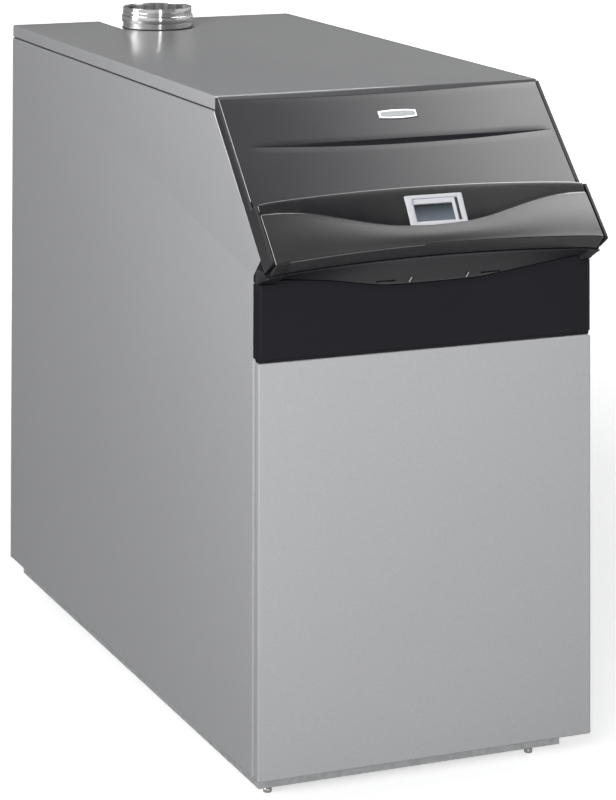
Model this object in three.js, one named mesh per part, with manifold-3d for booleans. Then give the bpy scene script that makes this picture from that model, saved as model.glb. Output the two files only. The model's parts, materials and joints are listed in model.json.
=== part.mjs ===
// Floor-standing condensing gas boiler with its premix burner assembly inside.
// Millimetres, +Z up, front of the casing towards -Y, left is -X, feet on Z = 0.
// The sloping hood and its controls are built in a frame of their own, tilted by 45 degrees.
import * as THREE from 'three';
import { mergeVertices } from 'three/addons/utils/BufferGeometryUtils.js';
import Module from 'manifold-3d';

const wasm = await Module();
wasm.setup();

// ---------------------------------------------------------------- driving sizes
// Casing
const HALF_WIDTH = 225;
const FACE_Y = -495;         // outer face of the lower front panel
const REAR_Y = 515;          // outer face of the rear panel
const PANEL_Z = 44;          // lower edge of the casing panels
const SIDE_TOP = 825.5;      // upper edge of the side and rear panels
const LID_Z = 828;           // lower edge of the lid flange
const LID_TOP = 845;
const LID_FRONT_Y = -347;
const SHEET = 1.2;           // sheet steel thickness
const FLANGE = 14;           // width of the folded edges
const FRONT_TOP = 542;       // upper edge of the lower front panel
const FASCIA_Z = 546.5;      // lower edge of the black fascia
const FOOT_X = 179;
const FOOT_FRONT_Y = -412;
const FOOT_REAR_Y = 479;
// Flue
const FLUE = [-30, 410];     // x, y of the flue axis
const FLUE_X = FLUE[0];
const FLUE_R = 51.6;
const FLUE_TOP = 876;
const FLUE_NOTCH_R = 57;     // notch in the lid and rear panel
// Burner and fan
const BURNER_Z = 450;        // axis of the burner tube, at x = 0
const FAN_X = 60;
const FAN_Z = 295;
const FAN = [FAN_X, FAN_Z];  // x, z of the fan axis
// Pipes through the rear panel
const STUB_END = 540;        // rear end of the pipe stubs
const WATER_X = 90;          // both water connections of the exchanger
const FLOW_Z = 520;
const RETURN_Z = 235;
const RETURN_STUB_X = 120;   // the return pipe swerves out to here
const GAS_STUB = [-180, 588];       // x, z
const CONDENSATE_STUB = [-172, 84]; // x, z

// ---------------------------------------------------------------- solids
function toSolid(geometry) {
  geometry.deleteAttribute('normal');
  geometry.deleteAttribute('uv');
  const merged = mergeVertices(geometry, 1e-4);
  const corners = merged.index.array;
  const triangles = [];
  for (let i = 0; i < corners.length; i += 3) {
    const [a, b, c] = corners.subarray(i, i + 3);
    if (a !== b && b !== c && a !== c) triangles.push(a, b, c);
  }
  return new wasm.Manifold(new wasm.Mesh({
    numProp: 3,
    vertProperties: new Float32Array(merged.attributes.position.array),
    triVerts: new Uint32Array(triangles),
  }));
}

function toGeometry(solid) {
  const mesh = solid.getMesh();
  const geometry = new THREE.BufferGeometry();
  const positions = new Float32Array(mesh.vertProperties);
  geometry.setAttribute('position', new THREE.BufferAttribute(positions, 3));
  geometry.setIndex(new THREE.BufferAttribute(new Uint32Array(mesh.triVerts), 1));
  geometry.computeVertexNormals();
  return geometry;
}

const cut = (solid, ...tools) => tools.reduce((rest, tool) => rest.subtract(tool), solid);
const join = (solid, ...parts) => parts.reduce((sum, part) => sum.add(part), solid);

function box(x0, x1, y0, y1, z0, z1) {
  const geometry = new THREE.BoxGeometry(x1 - x0, y1 - y0, z1 - z0);
  geometry.translate((x0 + x1) / 2, (y0 + y1) / 2, (z0 + z1) / 2);
  return toSolid(geometry);
}

// ---------------------------------------------------------------- outlines
// Arc of n segments, n + 1 points
function arc(cx, cy, radius, start, sweep, n) {
  return Array.from({ length: n + 1 }, (_, i) => {
    const angle = start + i / n * sweep;
    return [cx + radius * Math.cos(angle), cy + radius * Math.sin(angle)];
  });
}
const ring = (cx, cy, radius, n) => arc(cx, cy, radius, 0, Math.PI * 2, n).slice(0, n);

// Rectangle with rounded corners of n segments each
function rounded(x0, x1, y0, y1, radius, n = 3) {
  const centres = [
    [x1 - radius, y1 - radius],
    [x0 + radius, y1 - radius],
    [x0 + radius, y0 + radius],
    [x1 - radius, y0 + radius],
  ];
  const quarter = Math.PI / 2;
  return centres.flatMap(([cx, cy], k) => arc(cx, cy, radius, k * quarter, quarter, n));
}

// Two ends of an X range on the given side (-1 left, 1 right), in rising order
const mirrored = (side, from, to) => [side * from, side * to].sort((a, b) => a - b);

const toVectors = points => points.map(point => new THREE.Vector2(...point));
function shapeOf(points, holes) {
  const shape = new THREE.Shape(toVectors(points));
  for (const hole of holes) shape.holes.push(new THREE.Path(toVectors(hole)));
  return shape;
}

// ---------------------------------------------------------------- prisms and turned parts
function extrude(points, depth, holes = []) {
  const options = { depth, bevelEnabled: false, steps: 1 };
  return new THREE.ExtrudeGeometry(shapeOf(points, holes), options);
}
const YZ_PLANE = new THREE.Matrix4().set(0, 0, 1, 0, 1, 0, 0, 0, 0, 1, 0, 0, 0, 0, 0, 1);
const XZ_PLANE = new THREE.Matrix4().set(1, 0, 0, 0, 0, 0, -1, 0, 0, 1, 0, 0, 0, 0, 0, 1);
// outline in (X, Y)
function prismZ(points, z0, z1) {
  return toSolid(extrude(points, z1 - z0).translate(0, 0, z0));
}
// outline in (Y, Z)
function prismX(points, x0, x1) {
  return toSolid(extrude(points, x1 - x0).applyMatrix4(YZ_PLANE).translate(x0, 0, 0));
}
// outline in (X, Z)
function prismY(points, y0, y1, holes) {
  return toSolid(extrude(points, y1 - y0, holes).applyMatrix4(XZ_PLANE).translate(0, y1, 0));
}
const cylX = (y, z, radius, x0, x1, n) => prismX(ring(y, z, radius, n), x0, x1);
const cylY = (x, z, radius, y0, y1, n) => prismY(ring(x, z, radius, n), y0, y1);
const cylZ = (x, y, radius, z0, z1, n) => prismZ(ring(x, y, radius, n), z0, z1);

// Turned solid whose profile may have been given in either direction
function turnedSolid(geometry) {
  const solid = toSolid(geometry);
  if (solid.volume() >= 0) return solid;
  const corners = geometry.index.array;
  for (let i = 0; i < corners.length; i += 3) {
    [corners[i], corners[i + 1]] = [corners[i + 1], corners[i]];
  }
  return toSolid(geometry);
}
// Profiles are [radius, place along the axis]
const lathe = (profile, n) => new THREE.LatheGeometry(toVectors(profile), n);
function latheZ(profile, x, y, n) {
  return turnedSolid(lathe(profile, n).rotateX(Math.PI / 2).translate(x, y, 0));
}
function latheY(profile, x, z, n) {
  return turnedSolid(lathe(profile, n).translate(x, 0, z));
}

// ---------------------------------------------------------------- tubes
// Curve through fixed stations, one step per station, mitred at each
class StationCurve extends THREE.Curve {
  constructor(stations) {
    super();
    this.stations = stations;
    this.steps = stations.length - 1;
  }

  getPointAt(t, target = new THREE.Vector3()) {
    const place = Math.min(this.steps - 1e-9, Math.max(0, t * this.steps));
    const k = Math.floor(place);
    return target.lerpVectors(this.stations[k], this.stations[k + 1], place - k);
  }

  getTangentAt(t, target = new THREE.Vector3()) {
    const k = Math.round(t * this.steps);
    const here = this.stations[k];
    const sum = new THREE.Vector3();
    if (k > 0) sum.add(here.clone().sub(this.stations[k - 1]).normalize());
    if (k < this.steps) sum.add(this.stations[k + 1].clone().sub(here).normalize());
    return target.copy(sum.normalize());
  }
}

// Round tube along a polyline; each corner starts and ends `bend` away from its point
function tube(points, outerR, innerR, sides, bend, bendSteps) {
  const knots = points.map(point => new THREE.Vector3(...point));
  const stations = [knots[0]];
  for (let i = 1; i < knots.length - 1; i++) {
    const corner = knots[i];
    const arriving = corner.clone().sub(knots[i - 1]).normalize();
    const leaving = knots[i + 1].clone().sub(corner).normalize();
    const start = corner.clone().addScaledVector(arriving, -bend);
    const end = corner.clone().addScaledVector(leaving, bend);
    stations.push(...new THREE.QuadraticBezierCurve3(start, corner, end).getPoints(bendSteps));
  }
  stations.push(knots.at(-1));
  const extrudePath = new StationCurve(stations);
  const section = shapeOf(ring(0, 0, outerR, sides), [ring(0, 0, innerR, sides)]);
  const options = { steps: extrudePath.steps, bevelEnabled: false, extrudePath };
  return toSolid(new THREE.ExtrudeGeometry(section, options));
}

// ---------------------------------------------------------------- materials and groups
const MATERIALS = {
  steel_grey: { color: 0xa4a6a9, roughness: 0.42, metalness: 0.1 },
  galv: { color: 0xb9bcbe, roughness: 0.45, metalness: 0.8 },
  black_plastic: { color: 0x232427, roughness: 0.38, metalness: 0 },
  hood_plastic: { color: 0x55565a, roughness: 0.35, metalness: 0 },
  flap_plastic: { color: 0x5a5b5e, roughness: 0.5, metalness: 0 },
  light_plastic: { color: 0xd3d5d8, roughness: 0.4, metalness: 0 },
  lcd: { color: 0x59636f, roughness: 0.2, metalness: 0 },
  glass: { color: 0xb8c4cc, roughness: 0.05, metalness: 0 },
  stainless: { color: 0xc9cbcc, roughness: 0.2, metalness: 1 },
  alu: { color: 0xb2b5b7, roughness: 0.5, metalness: 0.9 },
  rubber: { color: 0x1d1d1e, roughness: 0.8, metalness: 0 },
  brass: { color: 0xb3903f, roughness: 0.35, metalness: 1 },
  pcb: { color: 0x1f5c35, roughness: 0.5, metalness: 0 },
  ceramic: { color: 0xe6e1d6, roughness: 0.7, metalness: 0 },
  white_plastic: { color: 0xe4e4e0, roughness: 0.5, metalness: 0 },
  red: { color: 0xb3261e, roughness: 0.45, metalness: 0 },
  zinc: { color: 0xa9abad, roughness: 0.35, metalness: 1 },
};

const root = new THREE.Group();
// Hood frame: x across, y up the slope, z off the hood plane, origin on its upper edge
const hood = new THREE.Group();
hood.position.set(0, -349, 843);
hood.rotation.x = Math.PI / 4;
root.add(hood);

function put(name, solid, material, parent = root) {
  const surface = new THREE.MeshStandardMaterial(MATERIALS[material]);
  const mesh = new THREE.Mesh(toGeometry(solid), surface);
  mesh.name = name;
  parent.add(mesh);
}

// ---------------------------------------------------------------- base frame and feet
function baseFrame() {
  let frame = cut(
    box(-205, 205, -448, 512.5, 18.5, 58),
    box(-203, 203, -446, 510.5, 20.5, 60),
  );
  for (const y of [-190, 272]) frame = join(frame, box(-203.5, 203.5, y, y + 18, 20, 40));
  for (const x of [-FOOT_X, FOOT_X]) {
    for (const y of [FOOT_FRONT_Y, FOOT_REAR_Y]) {
      const pad = box(x - 15, x + 15, y - 15, y + 15, 20, 24);
      frame = cut(join(frame, pad), cylZ(x, y, 4.6, 10, 30, 16));
    }
  }
  return frame;
}
put('base_frame', baseFrame(), 'galv');

for (const [row, y] of [['front', FOOT_FRONT_Y], ['rear', FOOT_REAR_Y]]) {
  for (const [side, x] of [['left', -FOOT_X], ['right', FOOT_X]]) {
    const foot = join(cylZ(x, y, 9, 0, 5.5, 6), cylZ(x, y, 4, 5, 50, 12));
    put(`foot_${row}_${side}`, foot, 'zinc');
  }
}

// ---------------------------------------------------------------- casing
const SIDE_FRONT = -477;
const SIDE_REAR = REAR_Y - 1.5;
// Side panel outline and its hollow, [y, z]
const SIDE_OUTLINE = [
  [SIDE_FRONT, PANEL_Z], [SIDE_REAR, PANEL_Z], [SIDE_REAR, SIDE_TOP],
  [-341, SIDE_TOP], [-501, 669], [SIDE_FRONT, 645],
];
const SIDE_HOLLOW = [
  [SIDE_FRONT + SHEET, PANEL_Z + SHEET], [SIDE_REAR - SHEET, PANEL_Z + SHEET],
  [SIDE_REAR - SHEET, SIDE_TOP - SHEET], [-340.5, SIDE_TOP - SHEET],
  [-499.2, 668.9], [SIDE_FRONT + SHEET, 645.6],
];
function sidePanel(side) {
  const flangeX = HALF_WIDTH - FLANGE;
  return cut(
    prismX(SIDE_OUTLINE, ...mirrored(side, HALF_WIDTH, flangeX)),
    prismX(SIDE_HOLLOW, ...mirrored(side, HALF_WIDTH - SHEET, flangeX - 2)),
    box(...mirrored(side, 223, 226), -450, -446, 43, 47), // notch in the lower edge
  );
}
put('left_side_panel', sidePanel(-1), 'steel_grey');
put('right_side_panel', sidePanel(1), 'steel_grey');

function rearPanel() {
  return cut(
    box(-HALF_WIDTH, HALF_WIDTH, REAR_Y - SHEET, REAR_Y, PANEL_Z, SIDE_TOP),
    cylY(WATER_X, FLOW_Z, 25, 500, 530, 24),
    cylY(RETURN_STUB_X, RETURN_Z, 25, 500, 530, 24),
    cylY(...GAS_STUB, 15, 500, 530, 24),
    cylY(...CONDENSATE_STUB, 15, 500, 530, 24),
    // notch under the flue opening of the lid
    box(FLUE_X - FLUE_NOTCH_R, FLUE_X + FLUE_NOTCH_R, 500, 530, 806, 830),
  );
}
put('rear_panel', rearPanel(), 'steel_grey');

function lid() {
  const outside = rounded(-HALF_WIDTH, HALF_WIDTH, LID_FRONT_Y, REAR_Y, 3);
  const insideX = HALF_WIDTH - SHEET;
  const inside = rounded(-insideX, insideX, LID_FRONT_Y + SHEET, REAR_Y - SHEET, 2);
  const notch = [
    [FLUE_X - FLUE_NOTCH_R, 530],
    ...arc(...FLUE, FLUE_NOTCH_R, Math.PI, Math.PI, 16),
    [FLUE_X + FLUE_NOTCH_R, 530],
  ];
  return cut(
    prismZ(outside, LID_Z, LID_TOP),
    prismZ(inside, LID_Z - 1, LID_TOP - SHEET),
    prismZ(notch, LID_Z - 2, LID_TOP + 2),
  );
}
put('top_panel', lid(), 'steel_grey');

function frontPanel() {
  const insideX = HALF_WIDTH - SHEET;
  const bevelX = HALF_WIDTH - 4;
  const hollow = [
    [-insideX, FACE_Y + 4], [-bevelX, FACE_Y + SHEET],
    [bevelX, FACE_Y + SHEET], [insideX, FACE_Y + 4],
    [insideX, -470], [-insideX, -470],
  ];
  return cut(
    prismZ(rounded(-HALF_WIDTH, HALF_WIDTH, FACE_Y, -478, 3.5), PANEL_Z, FRONT_TOP),
    prismZ(hollow, PANEL_Z + SHEET, FRONT_TOP - SHEET),
    box(-230, 230, -479, -470, 40, 550), // squares off the rear corners
  );
}
put('front_panel', frontPanel(), 'steel_grey');

// Fascia section with the finger recess under the flap, [y, z]
const FASCIA_OUTLINE = [
  [-479.5, FASCIA_Z], [FACE_Y, FASCIA_Z], [FACE_Y, 637], [-518, 655],
  [-514, 657], [-490, 657], [-479.5, 645],
];
const FASCIA_HOLLOW = [
  [-470, FASCIA_Z + 3], [FACE_Y + 3, FASCIA_Z + 3], [FACE_Y + 3, 638.4], [-512, 654],
  [-491.4, 654], [-482.5, 643.8], [-482.5, 640], [-470, 640],
];
const fascia = cut(prismX(FASCIA_OUTLINE, -226, 226), prismX(FASCIA_HOLLOW, -223, 223));
put('lower_fascia', fascia, 'black_plastic');

// ---------------------------------------------------------------- hood, in its own frame
const HOOD_HALF = 221.4;   // half width of cover and flap
const HOOD_BASE = -11.2;   // underside of cover and flap
const CENTRE_X = 8;        // shared middle of groove, badge and display
const FLAP_FACE = 13.4;    // how far the flap stands off the hood plane
const HINGE = [-175, 6];   // y, z of the hinge line
const FLAP_HEIGHT = 86.2;
// Where the curved outlines are sampled across the hood
const ACROSS = [
  -HOOD_HALF, -205, -180, -150, -120, -90, -60, -30, 0,
  30, 60, 90, 120, 150, 180, 205, HOOD_HALF,
];
// Distance down the slope of the seam between cover and flap
function seam(x) {
  const reach = Math.abs(x);
  const tip = reach > 200 ? 2 * ((reach - 200) / 25) ** 2 : 0;
  return 159 + 8.1 * (reach / 200) ** 2 + tip;
}
// Space under the lid, which the hood parts must leave free
const UNDER_LID = prismX([[-29.6, -30], [30, -30], [30, 5], [5.4, 5]], -240, 240);

function consoleCover() {
  const outline = [[-HOOD_HALF, 0], ...ACROSS.map(x => [x, -seam(x)]), [HOOD_HALF, 0]];
  const hollow = [[-219, -2.5], [-219, -185], [219, -185], [219, -2.5]];
  const bow = (i, rise) => {
    const t = -1 + i / 6;
    return [CENTRE_X + 205 * t, -79 + rise * (1 - t * t)];
  };
  const crescent = [];
  for (let i = 0; i <= 12; i++) crescent.push(bow(i, -7.5));
  for (let i = 11; i >= 1; i--) crescent.push(bow(i, 0.6));
  return cut(
    prismZ(outline, HOOD_BASE, 0),
    prismZ(hollow, -15, -3.5),
    prismZ(crescent, -2, 2),
    prismZ(rounded(CENTRE_X - 27, CENTRE_X + 27, -49.5, -32.5, 7, 4), -1, 2), // badge seat
    UNDER_LID,
  );
}
put('console_cover', consoleCover(), 'hood_plastic', hood);
const badge = rounded(CENTRE_X - 26.5, CENTRE_X + 26.5, -49, -33, 6.6, 4);
put('badge_plate', prismZ(badge, -0.7, 1), 'stainless', hood);

for (const [name, side] of [['left', -1], ['right', 1]]) {
  const pin = join(
    cylX(...HINGE, 2.35, ...mirrored(side, 215, 224.7), 16),
    cylX(...HINGE, 3.6, ...mirrored(side, 213.4, 215.2), 16),
  );
  put(`hinge_pin_${name}`, pin, 'zinc', hood);
}

// Side cheek of the housing, [y, z]
const CHEEK = [
  [0, -14.4], [0, 0], [-170, 0], [-172.5, 1.5], [-173.5, FLAP_FACE - 1.5],
  [-175, FLAP_FACE], [-253.5, FLAP_FACE], [-256, FLAP_FACE - 0.6],
  [-257.2, FLAP_FACE - 2.6], [-252.2, -12], [-250.5, -12.8], [-246, -14.4],
];
function consoleHousing() {
  let housing = cut(
    box(-223.5, 223.5, -239.5, -10, -14.4, -11.8),
    box(-195, 195, -235, -150, -16, 0),
  );
  housing = join(
    housing,
    box(-200, -184, -238, -152, -13.5, -11.9),
    box(184, 200, -238, -152, -13.5, -11.9),
    box(-218, 218, -14.4, -12, -14.4, -6),
  );
  for (const side of [-1, 1]) {
    housing = join(housing, prismX(CHEEK, ...mirrored(side, 222.8, 226)));
    housing = cut(housing, cylX(...HINGE, 2.65, ...mirrored(side, 222, 225), 16));
  }
  return cut(housing, UNDER_LID);
}
put('console_housing', consoleHousing(), 'black_plastic', hood);

// ---------------------------------------------------------------- flap
// Wave line at the lower edge of the scoop, [distance from middle, distance down the slope]
const WAVE = [
  [0, 219], [42, 217], [73, 212.3], [110, 203],
  [147, 193.6], [172, 189.2], [197, 187.6], [225, 188.2],
];
function wave(x) {
  const reach = Math.abs(x);
  const i = Math.max(1, WAVE.findIndex(([end]) => reach <= end));
  const [x0, down0] = WAVE[i - 1];
  const [x1, down1] = WAVE[i];
  return down0 + (reach - x0) / (x1 - x0) * (down1 - down0);
}
function scoopDepth(x) {
  const t = Math.min(1, Math.abs(x) / 222);
  return 1.6 + 7.4 * (0.5 + 0.5 * Math.cos(Math.PI * t));
}
// Wedge between seam and wave: shallow at the seam, deepest just above the wave.
// upper: start below the seam; lower: overrun past the wave; face: level of its top;
// drop: how far its floor is lowered
function scoop({ halfWidth, upper, lower, face, drop }) {
  const geometry = new THREE.BoxGeometry(2, 2, 2, 18, 1, 1);
  const position = geometry.attributes.position;
  for (let i = 0; i < position.count; i++) {
    const x = position.getX(i) * halfWidth;
    const isUpper = position.getY(i) > 0;
    const isFace = position.getZ(i) > 0;
    const down = isUpper ? seam(x) + upper : wave(x) - (isFace ? 0 : 4) + lower;
    const floor = FLAP_FACE - (isUpper ? 0.2 : scoopDepth(x)) - drop;
    position.setXYZ(i, x, -down, isFace ? face : floor);
  }
  return toSolid(geometry);
}

const BEZEL_AT = [CENTRE_X, -194.2, 9.4];
const BEZEL_TILT = 13; // degrees
function controlFlap() {
  // band between seam and lower edge, narrowed and drawn in
  const band = (scale, top, bottom) => [
    ...ACROSS.map(x => [x * scale, -(seam(x) + top)]),
    ...ACROSS.map(x => [x * scale, -(seam(x) + FLAP_HEIGHT + bottom)]).reverse(),
  ];
  let flap = cut(
    prismZ(band(1, 2, 0), HOOD_BASE, FLAP_FACE),
    prismZ(band((HOOD_HALF - 3) / HOOD_HALF, -3, -3), -14, FLAP_FACE - 3),
  );
  const pan = { halfWidth: 218.6, upper: 5, lower: 3, face: FLAP_FACE - 0.5, drop: 3 };
  const hollow = { halfWidth: 217.6, upper: 4, lower: 0, face: FLAP_FACE + 4, drop: 0 };
  flap = cut(join(flap, scoop(pan)), scoop(hollow));
  for (const side of [-1, 1]) {
    flap = join(flap, cylX(...HINGE, 4, ...mirrored(side, 215.6, 219), 16));
    flap = cut(flap, cylX(...HINGE, 2.65, ...mirrored(side, 214, 223), 16));
  }
  const opening = prismZ(rounded(-40.3, 40.3, -20.8, 20.8, 1.5, 2), -20, 20);
  return cut(flap, opening.rotate([BEZEL_TILT, 0, 0]).translate(BEZEL_AT));
}
put('control_flap', controlFlap(), 'flap_plastic', hood);

const bezelFrame = new THREE.Group();
bezelFrame.position.set(...BEZEL_AT);
bezelFrame.rotation.x = THREE.MathUtils.degToRad(BEZEL_TILT);
hood.add(bezelFrame);
const bezel = cut(
  prismZ(rounded(-40, 40, -20.5, 20.5, 1.5, 2), -3.4, 1),
  prismZ(rounded(-28.5, 30, -12.5, 13.5, 1, 2), -4, 2),
  prismZ(rounded(-31, 34, -15, 16.5, 1, 2), -4.5, -1.6), // window rebate
);
put('display_bezel', bezel, 'light_plastic', bezelFrame);
const windowPane = prismZ(rounded(-30.7, 33.7, -14.7, 16.2, 1, 2), -3.3, -1.9);
put('display_window', windowPane, 'glass', bezelFrame);

// ---------------------------------------------------------------- controls under the flap
const SWITCH_X = -164;
const KNOB = [-112, -222];
const GAUGE = [124, -208];
// name, x of its middle, material
const BUTTONS = [
  ['button_menu', -60, 'light_plastic'],
  ['button_down', -24, 'light_plastic'],
  ['button_up', 12, 'light_plastic'],
  ['button_reset', 48, 'red'],
];
function controlPanel() {
  const plate = join(
    box(-198, 198, -235, -180.5, -9.8, -7.6),
    box(-199, -186, -237, -179, -11.5, -7.7),
    box(186, 199, -237, -179, -11.5, -7.7),
  );
  return cut(
    plate,
    prismZ(rounded(SWITCH_X - 14, SWITCH_X + 14, -230, -210, 2, 2), -12, 0),
    cylZ(...KNOB, 4.5, -12, 0, 16),
    ...BUTTONS.map(([, x]) => prismZ(rounded(x - 11, x + 11, -231.5, -221.5, 3, 2), -12, 0)),
    cylZ(...GAUGE, 21.5, -12, 0, 28),
    box(CENTRE_X - 35, CENTRE_X + 35, -216.5, -181.5, -12, 0), // display
  );
}
put('control_panel_plate', controlPanel(), 'black_plastic', hood);

const lcd = cut(
  box(CENTRE_X - 34.5, CENTRE_X + 34.5, -216, -182, -14, -4),
  box(CENTRE_X - 29, CENTRE_X + 29, -211, -187, -5.2, -3),
);
put('lcd_module', lcd, 'lcd', hood);

const KNOB_PROFILE = [
  [0, -12], [3.9, -12], [3.9, -7], [14.5, -7], [14.5, -4.5], [12, 4.5], [11, 5.5], [0, 5.5],
];
const pointer = box(KNOB[0] - 1, KNOB[0] + 1, KNOB[1], KNOB[1] + 11, 5, 6.6);
put('selector_knob', join(latheZ(KNOB_PROFILE, ...KNOB, 24), pointer), 'light_plastic', hood);

for (const [name, x, material] of BUTTONS) {
  const cap = prismZ(rounded(x - 10.5, x + 10.5, -231, -222, 2.6, 2), -12.5, -5);
  put(name, cap, material, hood);
}

// Rocker with a shallow V face, [x from its middle, z]
const ROCKER = [[-13, -12], [13, -12], [13.2, -5.2], [0, -6.6], [-13.2, -5.2]];
const rocker = prismY(ROCKER.map(([x, z]) => [x + SWITCH_X, z]), -229.3, -210.7);
put('main_switch', rocker, 'black_plastic', hood);

const GAUGE_PROFILE = [
  [0, -26], [21, -26], [21, -7.4], [22.8, -7.2], [22.8, -4.4], [20.4, -3.6], [20.4, -6], [0, -6],
];
put('pressure_gauge', latheZ(GAUGE_PROFILE, ...GAUGE, 28), 'white_plastic', hood);
const needle = join(
  cylZ(...GAUGE, 2.4, -5.6, -4.6, 12),
  prismZ([[123.2, -212], [124.8, -212], [124.4, -193], [123.6, -193]], -5.4, -4.8),
);
put('gauge_needle', needle, 'red', hood);

// ---------------------------------------------------------------- electrical box behind the hood
const controlBox = cut(
  box(-184, 184, -425, -300, 614, 700),
  box(-182, 182, -423, -302, 616, 702),
  prismX([[-430, 690], [-410, 705], [-430, 705]], -190, 190), // bevelled front edge
  ...[-140, -110, 110].map(x => cylY(x, 640, 10, -304, -298, 16)),
);
put('control_box', controlBox, 'galv');

// Components on the board: x0, x1, y0, y1, top
const BOARD_TOP = 623;
const COMPONENTS = [
  [-150, -105, -400, -350, 655],
  [-90, -60, -405, -385, 640],
  [-40, 10, -400, -360, 634],
  [30, 90, -350, -320, 646],
  [110, 150, -405, -335, 650],
];
const board = join(
  box(-170, 170, -415, -310, BOARD_TOP - 2, BOARD_TOP),
  ...COMPONENTS.map(([x0, x1, y0, y1, top]) => box(x0, x1, y0, y1, BOARD_TOP - 0.5, top)),
  cylZ(-75, -345, 12, BOARD_TOP - 0.5, 652, 16),
  cylZ(-40, -335, 8, BOARD_TOP - 0.5, 645, 16),
);
put('circuit_board', board, 'pcb');

const crossMember = cut(
  box(-209.5, 209.5, -476, -452, 574, 604),
  box(-211, 211, -474, -450, 576, 602),
);
put('cross_member', crossMember, 'galv');

// ---------------------------------------------------------------- heat exchanger
const DRAIN = [130, 206];  // x, z of the drain cock
const VENT = [100, -120];  // x, y of the air vent
function heatExchanger() {
  let body = cut(
    box(-150, 150, -200, 300, 190, 560),
    box(-142, 142, -190, 290, 180, 552),
  );
  for (let i = 0; i < 9; i++) { // inner fins
    const y = -160 + i * 50;
    body = join(body, box(-143, 143, y, y + 4, 205, 365));
  }
  body = cut(body, cylY(0, BURNER_Z, 72, -210, -185, 28));
  for (let z = 230; z <= 510; z += 70) { // outer ribs
    body = join(body, box(-154, -149, -190, 290, z, z + 8), box(149, 154, -190, 290, z, z + 8));
  }
  for (const z of [FLOW_Z, RETURN_Z]) {
    body = join(body, cylY(WATER_X, z, 30, 299, 306, 6));
    body = cut(body, cylY(WATER_X, z, 17, 280, 310, 20));
  }
  return cut(body, cylY(...DRAIN, 9, -210, -185, 16), cylZ(...VENT, 6, 545, 570, 12));
}
put('heat_exchanger', heatExchanger(), 'alu');

function supportFrame(y) {
  const portal = cut(
    box(-150, 150, y, y + 30, 41, 189.5),
    box(-140, 140, y - 1, y + 31, 30, 185.5),
  );
  return join(portal, box(-160, -139, y, y + 30, 41, 44), box(139, 160, y, y + 30, 41, 44));
}
const support = join(
  supportFrame(-196),
  supportFrame(266),
  box(-150, -147, -170, 270, 60, 80),
  box(147, 150, -170, 270, 60, 80),
);
put('exchanger_support', support, 'galv');

// ---------------------------------------------------------------- condensate tray and flue
const TRAY_NOZZLE = [-100, 134]; // x, z
// Open upwards under the exchanger, with the flue outlet at its rear
function condensateTray() {
  let tray = cut(box(-134, 134, -158, 258, 120, 189), box(-130, 130, -154, 254, 124, 200));
  tray = join(tray, box(FLUE_X - 56, FLUE_X + 56, 257, 340, 120, 184));
  tray = cut(tray, box(FLUE_X - 52, FLUE_X + 52, 250, 350, 124, 180));
  tray = join(tray, cylY(...TRAY_NOZZLE, 11, -176, -157, 16));
  return cut(tray, cylY(...TRAY_NOZZLE, 9, -180, -150, 16));
}
put('condensate_tray', condensateTray(), 'black_plastic');

// Box behind the tray, open to the front, and the riser on it
function flueDuct() {
  const boxTop = 205;
  return cut(
    join(
      box(FLUE_X - 62, FLUE_X + 62, 341, 471, 116, boxTop),
      cylZ(...FLUE, FLUE_R - 0.6, boxTop - 3, 804, 32),
    ),
    box(FLUE_X - 59, FLUE_X + 59, 340, 468, 119, boxTop - 3),
    cylZ(...FLUE, FLUE_R - 2.6, boxTop - 10, 810, 32),
  );
}
put('flue_duct', flueDuct(), 'stainless');

const SEAL_PROFILE = [
  [FLUE_R, 786], [54.2, 786], [54.2, 796], [FLUE_R, 796], [FLUE_R, 786],
];
put('flue_seal', latheZ(SEAL_PROFILE, ...FLUE, 32), 'rubber');
const COLLAR_BORE = FLUE_R - 1.3;
const COLLAR_PROFILE = [
  [COLLAR_BORE, FLUE_TOP], [COLLAR_BORE, 818], [54.8, 811], [54.8, 778],
  [56.2, 778], [56.2, 812], [FLUE_R, 819], [FLUE_R, 857], [55, 859.5],
  [55, 867], [FLUE_R, 869.5], [FLUE_R, FLUE_TOP], [COLLAR_BORE, FLUE_TOP],
];
put('flue_collar', latheZ(COLLAR_PROFILE, ...FLUE, 32), 'stainless');

// ---------------------------------------------------------------- burner door
const BURNER = [0, BURNER_Z];
// x, z of the ports through the door
const IGNITION = [-45, BURNER_Z + 45];
const FLAME = [0, BURNER_Z + 64];
const SIGHT = [48, BURNER_Z + 45];
const doorOutline = (half, radius) =>
  rounded(-half, half, BURNER_Z - half, BURNER_Z + half, radius);

function burnerPlate() {
  const plate = cut(
    prismY(doorOutline(95, 10), -212, -204),
    cylY(...BURNER, 33, -215, -200, 28),
    cylY(...IGNITION, 5.2, -215, -200, 12),
    cylY(...FLAME, 5.2, -215, -200, 12),
    cylY(...SIGHT, 6, -215, -200, 12),
  );
  const collar = [[37, -216], [42, -216], [42, -211.5], [37, -211.5], [37, -216]];
  return join(plate, latheY(collar, ...BURNER, 28));
}
put('burner_plate', burnerPlate(), 'alu');
const gasket = prismY(doorOutline(94, 10), -203.6, -200.4, [ring(...BURNER, 74, 36)]);
put('burner_gasket', gasket, 'ceramic');

const BURNER_PROFILE = [
  [33, -203.5], [55, -203.5], [55, -201.6], [35, -201.6], [35, 188], [30, 192],
  [0, 192], [0, 190], [29, 190], [33, 187], [33, -203.5],
];
put('burner_tube', latheY(BURNER_PROFILE, ...BURNER, 24), 'stainless');

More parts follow.
